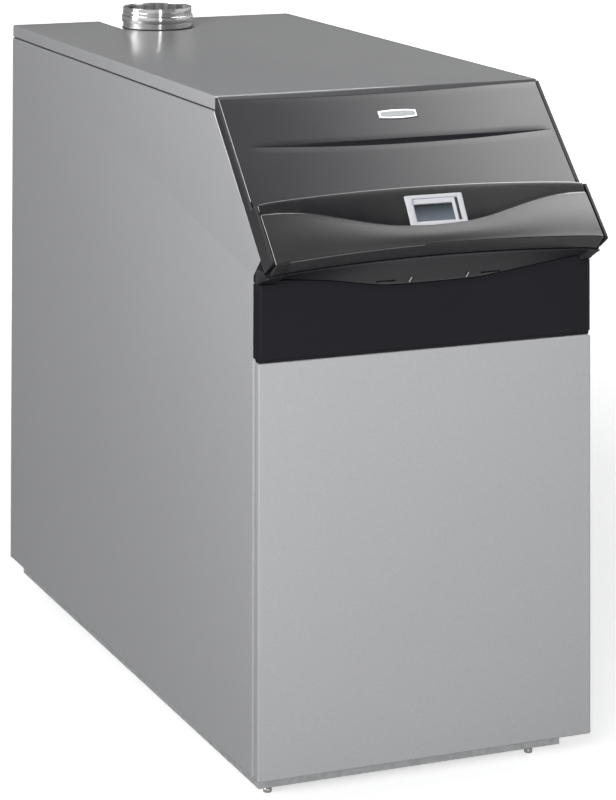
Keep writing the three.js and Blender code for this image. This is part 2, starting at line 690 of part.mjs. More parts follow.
const INSULATION_PROFILE = [
  [36.5, -200.8], [69, -200.8], [69, -176], [36.5, -176], [36.5, -200.8],
];
const insulation = cut(
  latheY(INSULATION_PROFILE, ...BURNER, 24),
  cylY(...IGNITION, 5.2, -210, -170, 12),
  cylY(...FLAME, 5.4, -210, -170, 12),
  cylY(...SIGHT, 6, -210, -170, 12),
  // opens the flame electrode's hole to the rim
  box(-5.4, 5.4, -210, -170, BURNER_Z + 63, BURNER_Z + 72),
);
put('burner_insulation', insulation, 'ceramic');

function electrode(port, tipY) {
  const profile = [
    [0, -246], [2, -246], [2, -238], [4.6, -236], [4.6, -226], [7, -225], [7, -213],
    [4.6, -213], [4.6, -168], [1.4, -166], [1.4, tipY], [0, tipY],
  ];
  return latheY(profile, ...port, 12);
}
put('ignition_electrode', electrode(IGNITION, -110), 'ceramic');
put('flame_electrode', electrode(FLAME, -70), 'ceramic');
const SIGHT_PROFILE = [[0, -224], [7, -224], [8.4, -223], [8.4, -212.4], [0, -212.4]];
put('sight_glass', latheY(SIGHT_PROFILE, ...SIGHT, 16), 'glass');

// ---------------------------------------------------------------- fan below the burner door
const NECK_LEFT = FAN_X - 92;
const NECK_RIGHT = 14;
const FAN_WALL = 3;
// Spiral from the neck's outer side round the bottom, with the neck rising on the left
function volute(inset) {
  const points = [];
  for (let i = 0; i <= 26; i++) {
    const angle = Math.PI + i / 26 * (Math.PI * 1.45);
    const radius = 92 - 22 * (i / 26) - inset;
    points.push([FAN_X + radius * Math.cos(angle), FAN_Z + radius * Math.sin(angle)]);
  }
  const top = 396 + inset;
  points.push([NECK_RIGHT - inset, FAN_Z + 66], [NECK_RIGHT - inset, top]);
  points.push([NECK_LEFT + inset, top]);
  return points;
}
const fanHousing = cut(
  prismY(volute(0), -300, -245),
  prismY(volute(FAN_WALL), -297, -248),
  cylY(...FAN, 30, -305, -295, 28),
  cylY(...FAN, 8, -250, -240, 16),
);
put('fan_housing', fanHousing, 'alu');

function impeller() {
  let wheel = join(cylY(...FAN, 58, -254, -252, 32), cylY(...FAN, 12, -270, -253, 20));
  for (let i = 0; i < 11; i++) {
    const blade = new THREE.BoxGeometry(28, 26, 2.2);
    blade.rotateY(0.45);
    blade.translate(44, -265.5, 0);
    blade.rotateY(i / 11 * Math.PI * 2);
    blade.translate(FAN_X, 0, FAN_Z);
    wheel = join(wheel, toSolid(blade));
  }
  wheel = wheel.intersect(cylY(...FAN, 60, -285, -240, 40));
  const shroud = prismY(ring(...FAN, 59, 32), -279.5, -277.5, [ring(...FAN, 34, 28)]);
  return cut(join(wheel, shroud), cylY(...FAN, 4.4, -290, -240, 16));
}
put('fan_impeller', impeller(), 'black_plastic');

const MOTOR_PROFILE = [
  [0, -266], [4, -266], [4, -244.4], [38, -244.4], [42, -240], [42, -214], [36, -208], [0, -208],
];
put('fan_motor', latheY(MOTOR_PROFILE, ...FAN, 28), 'black_plastic');

// From the neck into the burner door
const elbow = cut(
  box(-36, 36, -300, -217, 397, 487),
  box(-33.5, 33.5, -297, -220, 400, 484),
  box(NECK_LEFT + FAN_WALL, NECK_RIGHT - FAN_WALL, -297, -248, 390, 405),
  cylY(...BURNER, 32, -222, -210, 28),
);
put('mixture_elbow', elbow, 'alu');

// ---------------------------------------------------------------- air and gas supply
const GAS_FEED = [-325, FAN_Z]; // y, z of the nozzle from valve to mixer
const VALVE_X = -118;
const GAS_INLET_Y = -336;

const MIXER_PROFILE = [
  [30, -346], [30, -339], [27, -336], [27, -312], [36, -308], [36, -300.4],
  [24, -300.4], [17, -318], [24, -340], [24, -345], [24, -346], [30, -346],
];
const mixer = cut(latheY(MIXER_PROFILE, ...FAN, 20), cylX(...GAS_FEED, 5.5, 20, 50, 12));
put('gas_air_mixer', mixer, 'alu');

function airSilencer() {
  const shell = cut(
    prismY(rounded(24, 196, 110, 340, 14), -430, -350),
    prismY(rounded(27, 193, 113, 337, 12), -427, -353),
  );
  const spigot = [[25, -352], [31, -352], [31, -346.6], [25, -346.6], [25, -352]];
  return cut(
    join(shell, latheY(spigot, ...FAN, 28)),
    cylY(...FAN, 25, -356, -340, 28),
    box(120, 180, -400, -380, 100, 120), // slot in the floor
  );
}
put('air_silencer', airSilencer(), 'black_plastic');

function gasValve() {
  const body = join(
    box(-150, -86, -372, -300, 262, 330),
    cylY(VALVE_X, 300, 18, -392, -371, 20),
    box(-140, -100, -396, -371, 268, 280),
    cylX(...GAS_FEED, 13, -87, -74, 6),
    cylZ(VALVE_X, GAS_INLET_Y, 15, 329, 340, 6),
    cut(cylX(...GAS_FEED, 9, -76, 32, 16), cylY(...FAN, 27.6, -350, -300, 28)),
  );
  return cut(
    body,
    cylX(...GAS_FEED, 7, -120, 40, 16),
    cylZ(VALVE_X, GAS_INLET_Y, 8, 300, 345, 16),
  );
}
put('gas_valve', gasValve(), 'alu');

const [GAS_X, GAS_Z] = GAS_STUB;
const GAS_PATH = [
  [VALVE_X, GAS_INLET_Y, 341], [VALVE_X, GAS_INLET_Y, 400],
  [GAS_X, GAS_INLET_Y, 470], [GAS_X, GAS_INLET_Y, GAS_Z], [GAS_X, STUB_END, GAS_Z],
];
put('gas_pipe', tube(GAS_PATH, 11, 9.2, 10, 26, 3), 'zinc');

// ---------------------------------------------------------------- water side
const FLOW_PATH = [[WATER_X, 306.5, FLOW_Z], [WATER_X, STUB_END, FLOW_Z]];
put('flow_pipe', tube(FLOW_PATH, 21, 17.5, 24), 'zinc');
const RETURN_PATH = [
  [WATER_X, 306.5, RETURN_Z], [WATER_X, 360, RETURN_Z],
  [RETURN_STUB_X, 430, RETURN_Z], [RETURN_STUB_X, STUB_END, RETURN_Z],
];
put('return_pipe', tube(RETURN_PATH, 21, 17.5, 14, 22, 2), 'zinc');

const VENT_PROFILE = [
  [0, 561], [11, 561], [11, 566], [15, 567], [15, 600], [9, 604], [4, 604], [4, 610], [0, 610],
];
const vent = join(latheZ(VENT_PROFILE, ...VENT, 20), cylZ(...VENT, 5, 546, 562, 12));
put('air_vent', vent, 'brass');

const COCK_PROFILE = [
  [0, -262], [13, -262], [13, -246], [10, -244], [10, -222],
  [16, -220], [16, -201], [8, -201], [8, -191], [0, -191],
];
const STEM = [DRAIN[0], -232]; // x, y
const cockBody = cut(latheY(COCK_PROFILE, ...DRAIN, 18), cylY(...DRAIN, 5, -264, -240, 12));
put('drain_cock', join(cockBody, cylZ(...STEM, 6, 210, 221, 12)), 'brass');
const lever = join(cylZ(...STEM, 9, 221.5, 226, 16), box(133, 178, -236, -228, 222.5, 225));
put('drain_lever', lever, 'red');

// ---------------------------------------------------------------- siphon and hose
const SIPHON_X = -150;
const SIPHON_Y = -262;
const SIPHON_PROFILE = [
  [0, 62], [30, 62], [32, 66], [32, 150], [28, 156], [14, 156], [14, 170], [0, 170],
];
function siphon() {
  const cup = cut(
    latheZ(SIPHON_PROFILE, SIPHON_X, SIPHON_Y, 24),
    cylZ(SIPHON_X, SIPHON_Y, 11, 90, 180, 16),
  );
  return cut(
    join(cup, cylY(...CONDENSATE_STUB, 10, SIPHON_Y, STUB_END, 16)),
    cylY(...CONDENSATE_STUB, 8, -255, STUB_END + 1, 16),
  );
}
put('siphon_trap', siphon(), 'white_plastic');

const [NOZZLE_X, NOZZLE_Z] = TRAY_NOZZLE;
const HOSE_PATH = [
  [SIPHON_X, SIPHON_Y, 170.5], [SIPHON_X, SIPHON_Y, 210],
  [NOZZLE_X, -225, 210], [NOZZLE_X, -225, NOZZLE_Z], [NOZZLE_X, -177, NOZZLE_Z],
];
put('condensate_hose', tube(HOSE_PATH, 11.5, 9.5, 10, 17, 3), 'rubber');

export default root;
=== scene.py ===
import bpy, bmesh, math, json
from mathutils import Vector, Matrix

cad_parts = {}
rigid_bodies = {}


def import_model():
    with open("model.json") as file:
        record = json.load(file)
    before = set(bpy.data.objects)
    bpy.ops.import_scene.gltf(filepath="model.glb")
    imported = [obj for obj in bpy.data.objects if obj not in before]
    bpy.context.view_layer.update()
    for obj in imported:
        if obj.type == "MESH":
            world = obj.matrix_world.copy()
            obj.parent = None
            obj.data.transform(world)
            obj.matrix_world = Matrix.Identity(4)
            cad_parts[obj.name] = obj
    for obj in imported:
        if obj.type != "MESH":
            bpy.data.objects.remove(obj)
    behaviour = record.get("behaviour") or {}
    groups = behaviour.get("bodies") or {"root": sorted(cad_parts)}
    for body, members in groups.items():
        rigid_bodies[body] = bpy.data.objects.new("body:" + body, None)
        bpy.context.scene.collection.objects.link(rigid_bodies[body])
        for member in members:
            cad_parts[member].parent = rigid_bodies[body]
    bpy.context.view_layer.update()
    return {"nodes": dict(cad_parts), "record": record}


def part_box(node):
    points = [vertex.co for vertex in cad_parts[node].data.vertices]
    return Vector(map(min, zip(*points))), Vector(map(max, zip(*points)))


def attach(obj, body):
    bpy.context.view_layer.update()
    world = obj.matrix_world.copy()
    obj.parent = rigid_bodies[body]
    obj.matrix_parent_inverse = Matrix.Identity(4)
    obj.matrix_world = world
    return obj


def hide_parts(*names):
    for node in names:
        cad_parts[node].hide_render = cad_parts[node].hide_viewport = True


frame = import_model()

REC = frame["record"]
SCENE = bpy.context.scene
R2 = math.sqrt(0.5)
rad = math.radians

# ------------------------------------------------------------------ places read from the frame
B = {n: [[float(c) * 1000 for c in v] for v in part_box(n)] for n in (
    "left_side_panel", "right_side_panel", "rear_panel", "top_panel", "front_panel", "lower_fascia", "console_cover",
    "console_housing", "control_flap", "display_bezel", "flue_collar", "flue_duct", "base_frame", "foot_front_left", "foot_front_right",
    "foot_rear_left", "foot_rear_right", "badge_plate", "selector_knob", "pressure_gauge", "heat_exchanger", "fan_housing", "fan_motor",
    "gas_valve", "control_box", "burner_plate", "air_silencer", "siphon_trap", "drain_cock", "gas_pipe", "flow_pipe", "return_pipe", "cross_member", "fan_impeller")}
JOINT = {j["name"]: j for j in REC["behaviour"]["joints"]}
HP = [c * 1000 for c in JOINT["control_flap_hinge"]["pos_m"]]
HINGE_S, HINGE_W = 175.0, 6.0
HY0 = HP[1] + (HINGE_S + HINGE_W) * R2
HZ0 = HP[2] + (HINGE_S - HINGE_W) * R2
FW = 13.4            # the flap stands this far off the hood plane


def H(u, s, w):
    """Hood place (mm): u across, s down the slope, w off the slope -> metres."""
    return Vector((u, HY0 - (s + w) * R2, HZ0 + (w - s) * R2)) * 0.001


def body_of_node(node):
    for b, ns in REC["behaviour"]["bodies"].items():
        if node in ns:
            return b
    return "root"


SLOT = {s["node"]: s["material_slot"] for s in REC["subparts"]}

# ------------------------------------------------------------------ materials


def nodes_of(mat):
    mat.use_nodes = True
    nt = mat.node_tree
    nt.nodes.clear()
    out = nt.nodes.new("ShaderNodeOutputMaterial")
    bs = nt.nodes.new("ShaderNodeBsdfPrincipled")
    nt.links.new(bs.outputs[0], out.inputs[0])
    return nt, bs


def N(nt, kind, **kw):
    n = nt.nodes.new(kind)
    for k, v in kw.items():
        if k.startswith("_"):
            setattr(n, k[1:], v)
    return n


def L(nt, a, b):
    nt.links.new(a, b)


def coords(nt, scale=(1, 1, 1), rot=(0, 0, 0)):
    tc = nt.nodes.new("ShaderNodeTexCoord")
    mp = nt.nodes.new("ShaderNodeMapping")
    mp.inputs["Scale"].default_value = scale
    mp.inputs["Rotation"].default_value = rot
    L(nt, tc.outputs["Object"], mp.inputs["Vector"])
    return mp.outputs["Vector"]


def noise(nt, vec, scale, detail=3.0, rough=0.55):
    n = nt.nodes.new("ShaderNodeTexNoise")
    n.inputs["Scale"].default_value = scale
    n.inputs["Detail"].default_value = detail
    n.inputs["Roughness"].default_value = rough
    L(nt, vec, n.inputs["Vector"])
    return n.outputs["Fac"]


def ramp(nt, fac, lo, hi, c0, c1):
    r = nt.nodes.new("ShaderNodeValToRGB")
    r.color_ramp.elements[0].position = lo
    r.color_ramp.elements[1].position = hi
    r.color_ramp.elements[0].color = (*c0, 1) if len(c0) == 3 else c0
    r.color_ramp.elements[1].color = (*c1, 1) if len(c1) == 3 else c1
    L(nt, fac, r.inputs["Fac"])
    return r.outputs["Color"]


def mapr(nt, fac, a, b, c, d):
    m = nt.nodes.new("ShaderNodeMapRange")
    m.inputs["From Min"].default_value = a
    m.inputs["From Max"].default_value = b
    m.inputs["To Min"].default_value = c
    m.inputs["To Max"].default_value = d
    L(nt, fac, m.inputs["Value"])
    return m.outputs["Result"]


def mixc(nt, fac, a, b, mode="MIX"):
    m = nt.nodes.new("ShaderNodeMix")
    m.data_type = "RGBA"
    m.blend_type = mode
    for key, val in (("Factor", fac), ("A", a), ("B", b)):
        sock = [i for i in m.inputs if i.name == key and (i.type == ("VALUE" if key == "Factor" else "RGBA"))][0]
        if hasattr(val, "is_output"):
            L(nt, val, sock)
        elif key == "Factor":
            sock.default_value = val
        else:
            sock.default_value = (*val, 1)
    return [o for o in m.outputs if o.type == "RGBA"][0]


def bump(nt, bs, height, strength, dist):
    b = nt.nodes.new("ShaderNodeBump")
    b.inputs["Strength"].default_value = strength
    b.inputs["Distance"].default_value = dist
    L(nt, height, b.inputs["Height"])
    L(nt, b.outputs["Normal"], bs.inputs["Normal"])
    return b


def edge_wear(nt):
    """1 on convex edges, 0 on faces."""
    g = nt.nodes.new("ShaderNodeNewGeometry")
    return mapr(nt, g.outputs["Pointiness"], 0.52, 0.60, 0.0, 1.0)


def mat_paint(name, col, rough=0.42, peel=0.05, spec=0.5):
    """Powder coat on sheet steel: orange peel, faint cloudiness, a few handling marks."""
    m = bpy.data.materials.new(name)
    nt, bs = nodes_of(m)
    v = coords(nt)
    cloud = noise(nt, v, 3.2, 4, 0.5)
    c = ramp(nt, cloud, 0.0, 1.0, [x * 0.97 for x in col], [min(1, x * 1.03) for x in col])
    fine = noise(nt, v, 900, 2, 0.5)
    c2 = mixc(nt, 0.05, c, ramp(nt, fine, 0.35, 0.65, (0.1, 0.1, 0.1), (0.9, 0.9, 0.9)), "OVERLAY")
    L(nt, c2, bs.inputs["Base Color"])
    smudge = noise(nt, v, 5.0, 3, 0.5)
    r = mapr(nt, smudge, 0.0, 1.0, rough - 0.022, rough + 0.022)
    L(nt, r, bs.inputs["Roughness"])
    bs.inputs["Specular IOR Level"].default_value = spec
    bs.inputs["Coat Weight"].default_value = 0.12
    bs.inputs["Coat Roughness"].default_value = 0.28
    pl = noise(nt, v, 520, 1, 0.4)
    bump(nt, bs, pl, peel, 0.00025)
    return m


def mat_plastic(name, col, rough, grain=0.0, gscale=1500, spec=0.5, var=0.06, wear=0.0, coat=0.0, rvar=0.05, underside_light_col=None, side=None):
    m = bpy.data.materials.new(name)
    nt, bs = nodes_of(m)
    v = coords(nt)
    cloud = noise(nt, v, 6.0, 3, 0.5)
    c = ramp(nt, cloud, 0.3, 0.7, [x * (1 - var) for x in col], [x * (1 + var) for x in col])
    # painted light: faces turned downward take the lighter underside colour
    if underside_light_col:
        tn = nt.nodes.new("ShaderNodeTexCoord")
        sn = nt.nodes.new("ShaderNodeSeparateXYZ")
        L(nt, tn.outputs["Normal"], sn.inputs[0])
        c = mixc(nt, mapr(nt, sn.outputs["Z"], -0.25, -0.6, 0.0, 1.0), c, underside_light_col)
    if wear > 0:
        w = mixc(nt, edge_wear(nt), c, [min(1, x * (1 + wear) + 0.01) for x in col])
        L(nt, w, bs.inputs["Base Color"])
    else:
        L(nt, c, bs.inputs["Base Color"])
    sm = noise(nt, v, 9.0, 2, 0.45)
    L(nt, mapr(nt, sm, 0.25, 0.8, rough - rvar, rough + rvar), bs.inputs["Roughness"])
    bs.inputs["Specular IOR Level"].default_value = spec
    if side is not None:
        # painted shade: less sheen on the left-facing faces, so that side reads darker
        ts = nt.nodes.new("ShaderNodeTexCoord")
        ss = nt.nodes.new("ShaderNodeSeparateXYZ")
        L(nt, ts.outputs["Normal"], ss.inputs[0])
        L(nt, mapr(nt, ss.outputs["X"], -0.5, -0.9, spec, side), bs.inputs["Specular IOR Level"])
    bs.inputs["Coat Weight"].default_value = coat
    bs.inputs["Coat Roughness"].default_value = 0.15
    if grain > 0:
        vo = nt.nodes.new("ShaderNodeTexVoronoi")
        vo.inputs["Scale"].default_value = gscale
        L(nt, v, vo.inputs["Vector"])
        fine = noise(nt, v, gscale * 1.6, 2, 0.6)
        ma = nt.nodes.new("ShaderNodeMath")
        ma.operation = "ADD"
        L(nt, vo.outputs["Distance"], ma.inputs[0])
        L(nt, fine, ma.inputs[1])
        bump(nt, bs, ma.outputs[0], grain, 0.0003)
    return m


def mat_metal(name, col, rough, brush=None, bstr=0.05, cast=0.0, var=0.05, aniso=0.0):
    """brush: scale vector whose long strokes give a brushed or drawn look; cast: grainy casting skin."""
    m = bpy.data.materials.new(name)
    nt, bs = nodes_of(m)
    bs.inputs["Metallic"].default_value = 1.0
    v = coords(nt)
    cl = noise(nt, v, 12.0, 4, 0.55)
    c = ramp(nt, cl, 0.3, 0.72, [x * (1 - var) for x in col], [min(1, x * (1 + var)) for x in col])
    L(nt, c, bs.inputs["Base Color"])
    r = mapr(nt, noise(nt, v, 25.0, 5, 0.6), 0.3, 0.75, max(0.03, rough - 0.05), rough + 0.08)
    L(nt, r, bs.inputs["Roughness"])
    if aniso:
        bs.inputs["Anisotropic"].default_value = aniso
    if brush:
        vb = coords(nt, scale=brush)
        bump(nt, bs, noise(nt, vb, 1.0, 3, 0.6), bstr, 0.0004)
    elif cast > 0:
        bump(nt, bs, noise(nt, v, 900.0, 4, 0.65), cast, 0.0006)
    return m


def mat_galv(name):
    m = bpy.data.materials.new(name)
    nt, bs = nodes_of(m)
    bs.inputs["Metallic"].default_value = 0.85
    v = coords(nt)
    vo = nt.nodes.new("ShaderNodeTexVoronoi")
    vo.inputs["Scale"].default_value = 140.0
    L(nt, v, vo.inputs["Vector"])
    c = ramp(nt, vo.outputs["Color"], 0.1, 0.9, (0.56, 0.57, 0.58), (0.68, 0.69, 0.70))
    L(nt, c, bs.inputs["Base Color"])
    L(nt, mapr(nt, vo.outputs["Color"], 0.0, 1.0, 0.36, 0.42), bs.inputs["Roughness"])
    bump(nt, bs, noise(nt, v, 500.0, 3, 0.5), 0.05, 0.0003)
    return m


MATS = {}
MATS["casing_paint"] = mat_paint("casing_paint", (0.362, 0.364, 0.374), rough=0.242, peel=0.06)
MATS["galvanised_sheet"] = mat_galv("galvanised_sheet")
MATS["zinc_plated"] = mat_metal("zinc_plated", (0.62, 0.61, 0.58), 0.32, brush=(60, 60, 900), bstr=0.04)
# fascia_black gets painted shade on its left-facing faces (side: lower specular level there)
MATS["fascia_black"] = mat_plastic("fascia_black", (0.0100, 0.0098, 0.0128), 0.31, grain=0.03, gscale=900, spec=0.17, coat=0.0, rvar=0.02, side=0.03)
MATS["hood_satin"] = mat_plastic("hood_satin", (0.0135, 0.0132, 0.0165), 0.160, grain=0.02, gscale=1100, spec=0.55, rvar=0.012)
# flap_textured: its downward faces, the lip, get a lighter colour, painted light
MATS["flap_textured"] = mat_plastic("flap_textured", (0.0100, 0.0100, 0.0112), 0.150, grain=0.035, gscale=1300, spec=0.55, wear=0.5, rvar=0.015, underside_light_col=(0.034, 0.034, 0.036))
# cheek_black: a darker, less glossy copy of the hood plastic, painted shade for the cheeks' angled faces
MATS["cheek_black"] = mat_plastic("cheek_black", (0.012, 0.012, 0.0135), 0.38, grain=0.05, gscale=1200, spec=0.28, var=0.04)
MATS["black_plastic"] = mat_plastic("black_plastic", (0.020, 0.020, 0.022), 0.42, grain=0.10, gscale=1200, spec=0.45, wear=0.8)
# grip_black: black_plastic with painted shade on its left-facing faces
MATS["grip_black"] = mat_plastic("grip_black", (0.020, 0.020, 0.022), 0.42, grain=0.10, gscale=1200, spec=0.45, wear=0.8, side=0.03)
# light grey for the strip that paints a highlight line along the flap's nose
MATS["bead_grey"] = mat_plastic("bead_grey", (0.13, 0.13, 0.135), 0.45, grain=0.05, gscale=1200, spec=0.35, var=0.04)
MATS["light_plastic"] = mat_plastic("light_plastic", (0.50, 0.505, 0.53), 0.38, grain=0.04, gscale=1400, var=0.03)
MATS["signal_red"] = mat_plastic("signal_red", (0.50, 0.035, 0.030), 0.36, grain=0.04, gscale=1200, var=0.05)
def mat_lcd(name):
    """Grey-blue liquid crystal cell, faintly lit from behind by its own glow, with painted shade that darkens it
    towards its upper edge, below the bezel; the glow carries that painted shade too.
    """
    m = bpy.data.materials.new(name)
    nt, bs = nodes_of(m)
    tc = nt.nodes.new("ShaderNodeTexCoord")
    se = nt.nodes.new("ShaderNodeSeparateXYZ")
    L(nt, tc.outputs["Object"], se.inputs[0])
    # painted shade: darker towards the top of the cell, below the bezel's edge
    g = mapr(nt, se.outputs["Z"], 0.7155, 0.6985, 0.0, 1.0)
    c = ramp(nt, g, 0.0, 1.0, (0.006, 0.008, 0.011), (0.125, 0.145, 0.170))
    v = coords(nt)
    px = noise(nt, v, 1800, 1, 0.5)
    c2 = mixc(nt, 0.08, c, ramp(nt, px, 0.4, 0.6, (0.0, 0.0, 0.0), (1, 1, 1)), "OVERLAY")
    L(nt, c2, bs.inputs["Base Color"])
    L(nt, c2, bs.inputs["Emission Color"])
    bs.inputs["Emission Strength"].default_value = 0.7
    bs.inputs["Roughness"].default_value = 0.2
    return m


MATS["lcd_grey"] = mat_lcd("lcd_grey")
MATS["stainless"] = mat_metal("stainless", (0.72, 0.72, 0.71), 0.13, brush=(8, 8, 1600), bstr=0.03)
def mat_liner(name):
    """Stainless bore lining: streaks of painted reflection run down the wall in its colour, so tone changes around the
    bore; the finer streaks also set roughness and bumps, like draw marks.
    """
    m = bpy.data.materials.new(name)
    nt, bs = nodes_of(m)
    v = coords(nt, (1, 1, 0.02))
    a = noise(nt, v, 34, 2, 0.5)
    b = noise(nt, v, 240, 2, 0.5)
    # painted reflection: bright and dark vertical streaks in the base colour
    c = mixc(nt, 0.3, ramp(nt, a, 0.42, 0.60, (0.10, 0.10, 0.10), (0.95, 0.95, 0.94)), ramp(nt, b, 0.3, 0.7, (0.15, 0.15, 0.15), (0.9, 0.9, 0.9)))
    L(nt, c, bs.inputs["Base Color"])
    bs.inputs["Metallic"].default_value = 1.0
    L(nt, mapr(nt, b, 0.0, 1.0, 0.30, 0.46), bs.inputs["Roughness"])
    bump(nt, bs, b, 0.06, 0.0003)
    return m


MATS["stainless_inner"] = mat_liner("stainless_inner")
MATS["badge_metal"] = mat_metal("badge_metal", (0.80, 0.80, 0.81), 0.30, brush=(900, 20, 20), bstr=0.05)
MATS["badge_inlay"] = mat_plastic("badge_inlay", (0.42, 0.43, 0.445), 0.45, grain=0.12, gscale=900, spec=0.35, var=0.02)
MATS["badge_dark"] = mat_metal("badge_dark", (0.17, 0.17, 0.175), 0.30, brush=(900, 20, 20), bstr=0.03)
MATS["trim_grey"] = mat_plastic("trim_grey", (0.075, 0.075, 0.078), 0.45, grain=0.05, gscale=1200, spec=0.35, var=0.04)
MATS["cast_aluminium"] = mat_metal("cast_aluminium", (0.56, 0.57, 0.58), 0.46, cast=0.35, var=0.10)
MATS["rubber_black"] = mat_plastic("rubber_black", (0.018, 0.018, 0.018), 0.72, grain=0.15, gscale=1500, spec=0.3)
MATS["ceramic_white"] = mat_plastic("ceramic_white", (0.74, 0.71, 0.64), 0.65, grain=0.25, gscale=700, var=0.05)
MATS["brass"] = mat_metal("brass", (0.62, 0.44, 0.16), 0.30, brush=(60, 900, 60), bstr=0.05, var=0.10)


def mat_glass(name):
    """Thin clear pane: lets light straight through, reflects at its surface, a few smears."""
    m = bpy.data.materials.new(name)
    m.use_nodes = True
    nt = m.node_tree
    nt.nodes.clear()
    out = nt.nodes.new("ShaderNodeOutputMaterial")
    mx_ = nt.nodes.new("ShaderNodeMixShader")
    tr = nt.nodes.new("ShaderNodeBsdfTransparent")
    gl = nt.nodes.new("ShaderNodeBsdfGlossy")
    fr = nt.nodes.new("ShaderNodeFresnel")
    fr.inputs["IOR"].default_value = 1.45
    tr.inputs["Color"].default_value = (0.93, 0.95, 0.96, 1)
    v = coords(nt)
    L(nt, mapr(nt, noise(nt, v, 60, 4, 0.6), 0.4, 0.8, 0.02, 0.12), gl.inputs["Roughness"])
    L(nt, fr.outputs[0], mx_.inputs[0])
    L(nt, tr.outputs[0], mx_.inputs[1])
    L(nt, gl.outputs[0], mx_.inputs[2])
    L(nt, mx_.outputs[0], out.inputs[0])
    return m


MATS["clear_pane"] = mat_glass("clear_pane")


def mat_board(name):
    m = bpy.data.materials.new(name)
    nt, bs = nodes_of(m)
    v = coords(nt)
    br = nt.nodes.new("ShaderNodeTexBrick")
    br.inputs["Scale"].default_value = 90.0
    br.inputs["Color1"].default_value = (0.02, 0.16, 0.06, 1)
    br.inputs["Color2"].default_value = (0.03, 0.20, 0.08, 1)
    br.inputs["Mortar"].default_value = (0.10, 0.30, 0.12, 1)
    br.inputs["Mortar Size"].default_value = 0.01
    L(nt, v, br.inputs["Vector"])
    L(nt, br.outputs["Color"], bs.inputs["Base Color"])
    bs.inputs["Roughness"].default_value = 0.35
    bump(nt, bs, noise(nt, v, 700, 2, 0.5), 0.05, 0.0003)
    return m


MATS["circuit_green"] = mat_board("circuit_green")

# ------------------------------------------------------------------ mesh helpers


def clean(me, dist=1e-6):
    bm = bmesh.new()
    bm.from_mesh(me)
    bmesh.ops.remove_doubles(bm, verts=bm.verts, dist=dist)
    bmesh.ops.recalc_face_normals(bm, faces=bm.faces)
    bm.to_mesh(me)
    bm.free()


def shade(me, angle=32):
    for p in me.polygons:
        p.use_smooth = True
    me.set_sharp_from_angle(angle=rad(angle))


def make(name, verts, faces, mat, body, node=None, angle=32, do_clean=True, also=()):
    """verts in metres."""
    me = bpy.data.meshes.new(name)
    me.from_pydata([tuple(v) for v in verts], [], faces)
    me.validate()
    if do_clean:
        clean(me)
    shade(me, angle)
    o = bpy.data.objects.new(name, me)
    SCENE.collection.objects.link(o)
    o.data.materials.append(MATS[mat])
    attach(o, body)
    if node:
        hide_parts(node, *also)
    return o


def bevel(o, width, segs=2, angle=35, wn=True):
    b = o.modifiers.new("edge", "BEVEL")
    b.width = width * 0.001
    b.segments = segs
    b.limit_method = "ANGLE"
    b.angle_limit = rad(angle)
    b.use_clamp_overlap = True
    b.miter_outer = "MITER_ARC"
    if wn:
        w = o.modifiers.new("wn", "WEIGHTED_NORMAL")
        w.keep_sharp = True
        w.weight = 60


def refine(node, width=0.4, segs=2, angle=35, shade_angle=34, name=None, mat=None, tri=False):
    """A finer piece made from a CAD node's own shape: flat faces rejoined, edges rounded."""
    src = frame_obj(node)
    me = src.data.copy()
    bm = bmesh.new()
    bm.from_mesh(me)
    bmesh.ops.transform(bm, matrix=src.matrix_world, verts=bm.verts)
    bmesh.ops.remove_doubles(bm, verts=bm.verts, dist=2e-6)
    bmesh.ops.dissolve_limit(bm, angle_limit=rad(0.6), verts=bm.verts, edges=bm.edges)
    if tri:
        bmesh.ops.triangulate(bm, faces=[f for f in bm.faces if len(f.verts) > 4], quad_method="BEAUTY", ngon_method="EAR_CLIP")
    bmesh.ops.recalc_face_normals(bm, faces=bm.faces)
    bm.to_mesh(me)
    bm.free()
    while me.materials:
        me.materials.pop()
    if me.has_custom_normals:
        try:
            me.free_normals_split()
        except Exception:
            pass
    for a in ("custom_normal",):
        if a in me.attributes:
            me.attributes.remove(me.attributes[a])
    shade(me, shade_angle)
    sl = mat or SLOT[node]
    o = bpy.data.objects.new(name or node + "_body", me)
    SCENE.collection.objects.link(o)
    o.data.materials.append(MATS[sl])
    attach(o, body_of_node(node))
    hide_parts(node)
    if width:
        bevel(o, width, segs, angle)
    return o


def frame_obj(node):
    for o in bpy.data.objects:
        if o.type == "MESH" and o.name == node:
            return o
    return frame["nodes"][node]


def applied(o):
    """Modifiers baked into a new mesh."""
    dg = bpy.context.evaluated_depsgraph_get()
    me = bpy.data.meshes.new_from_object(o.evaluated_get(dg), preserve_all_data_layers=False, depsgraph=dg)
    old = o.data
    o.modifiers.clear()
    o.data = me
    bpy.data.meshes.remove(old)
    return o


def cut_with(o, cutter):
    m = o.modifiers.new("cut", "BOOLEAN")
    m.operation = "DIFFERENCE"
    m.solver = "EXACT"
    m.object = cutter
    applied(o)
    bpy.data.objects.remove(cutter, do_unlink=True)
    return o


def tmp_obj(verts, faces):
    me = bpy.data.meshes.new("tmp")
    me.from_pydata([tuple(v) for v in verts], [], faces)
    clean(me)
    o = bpy.data.objects.new("tmp", me)
    SCENE.collection.objects.link(o)
    return o


def rround(x0, x1, y0, y1, r, n=5):
    p = []
    for k, (cx, cy) in enumerate(((x1 - r, y1 - r), (x0 + r, y1 - r), (x0 + r, y0 + r), (x1 - r, y0 + r))):
        for i in range(n + 1):
            a = (k + i / n) * math.pi / 2
            p.append((cx + r * math.cos(a), cy + r * math.sin(a)))
    return p


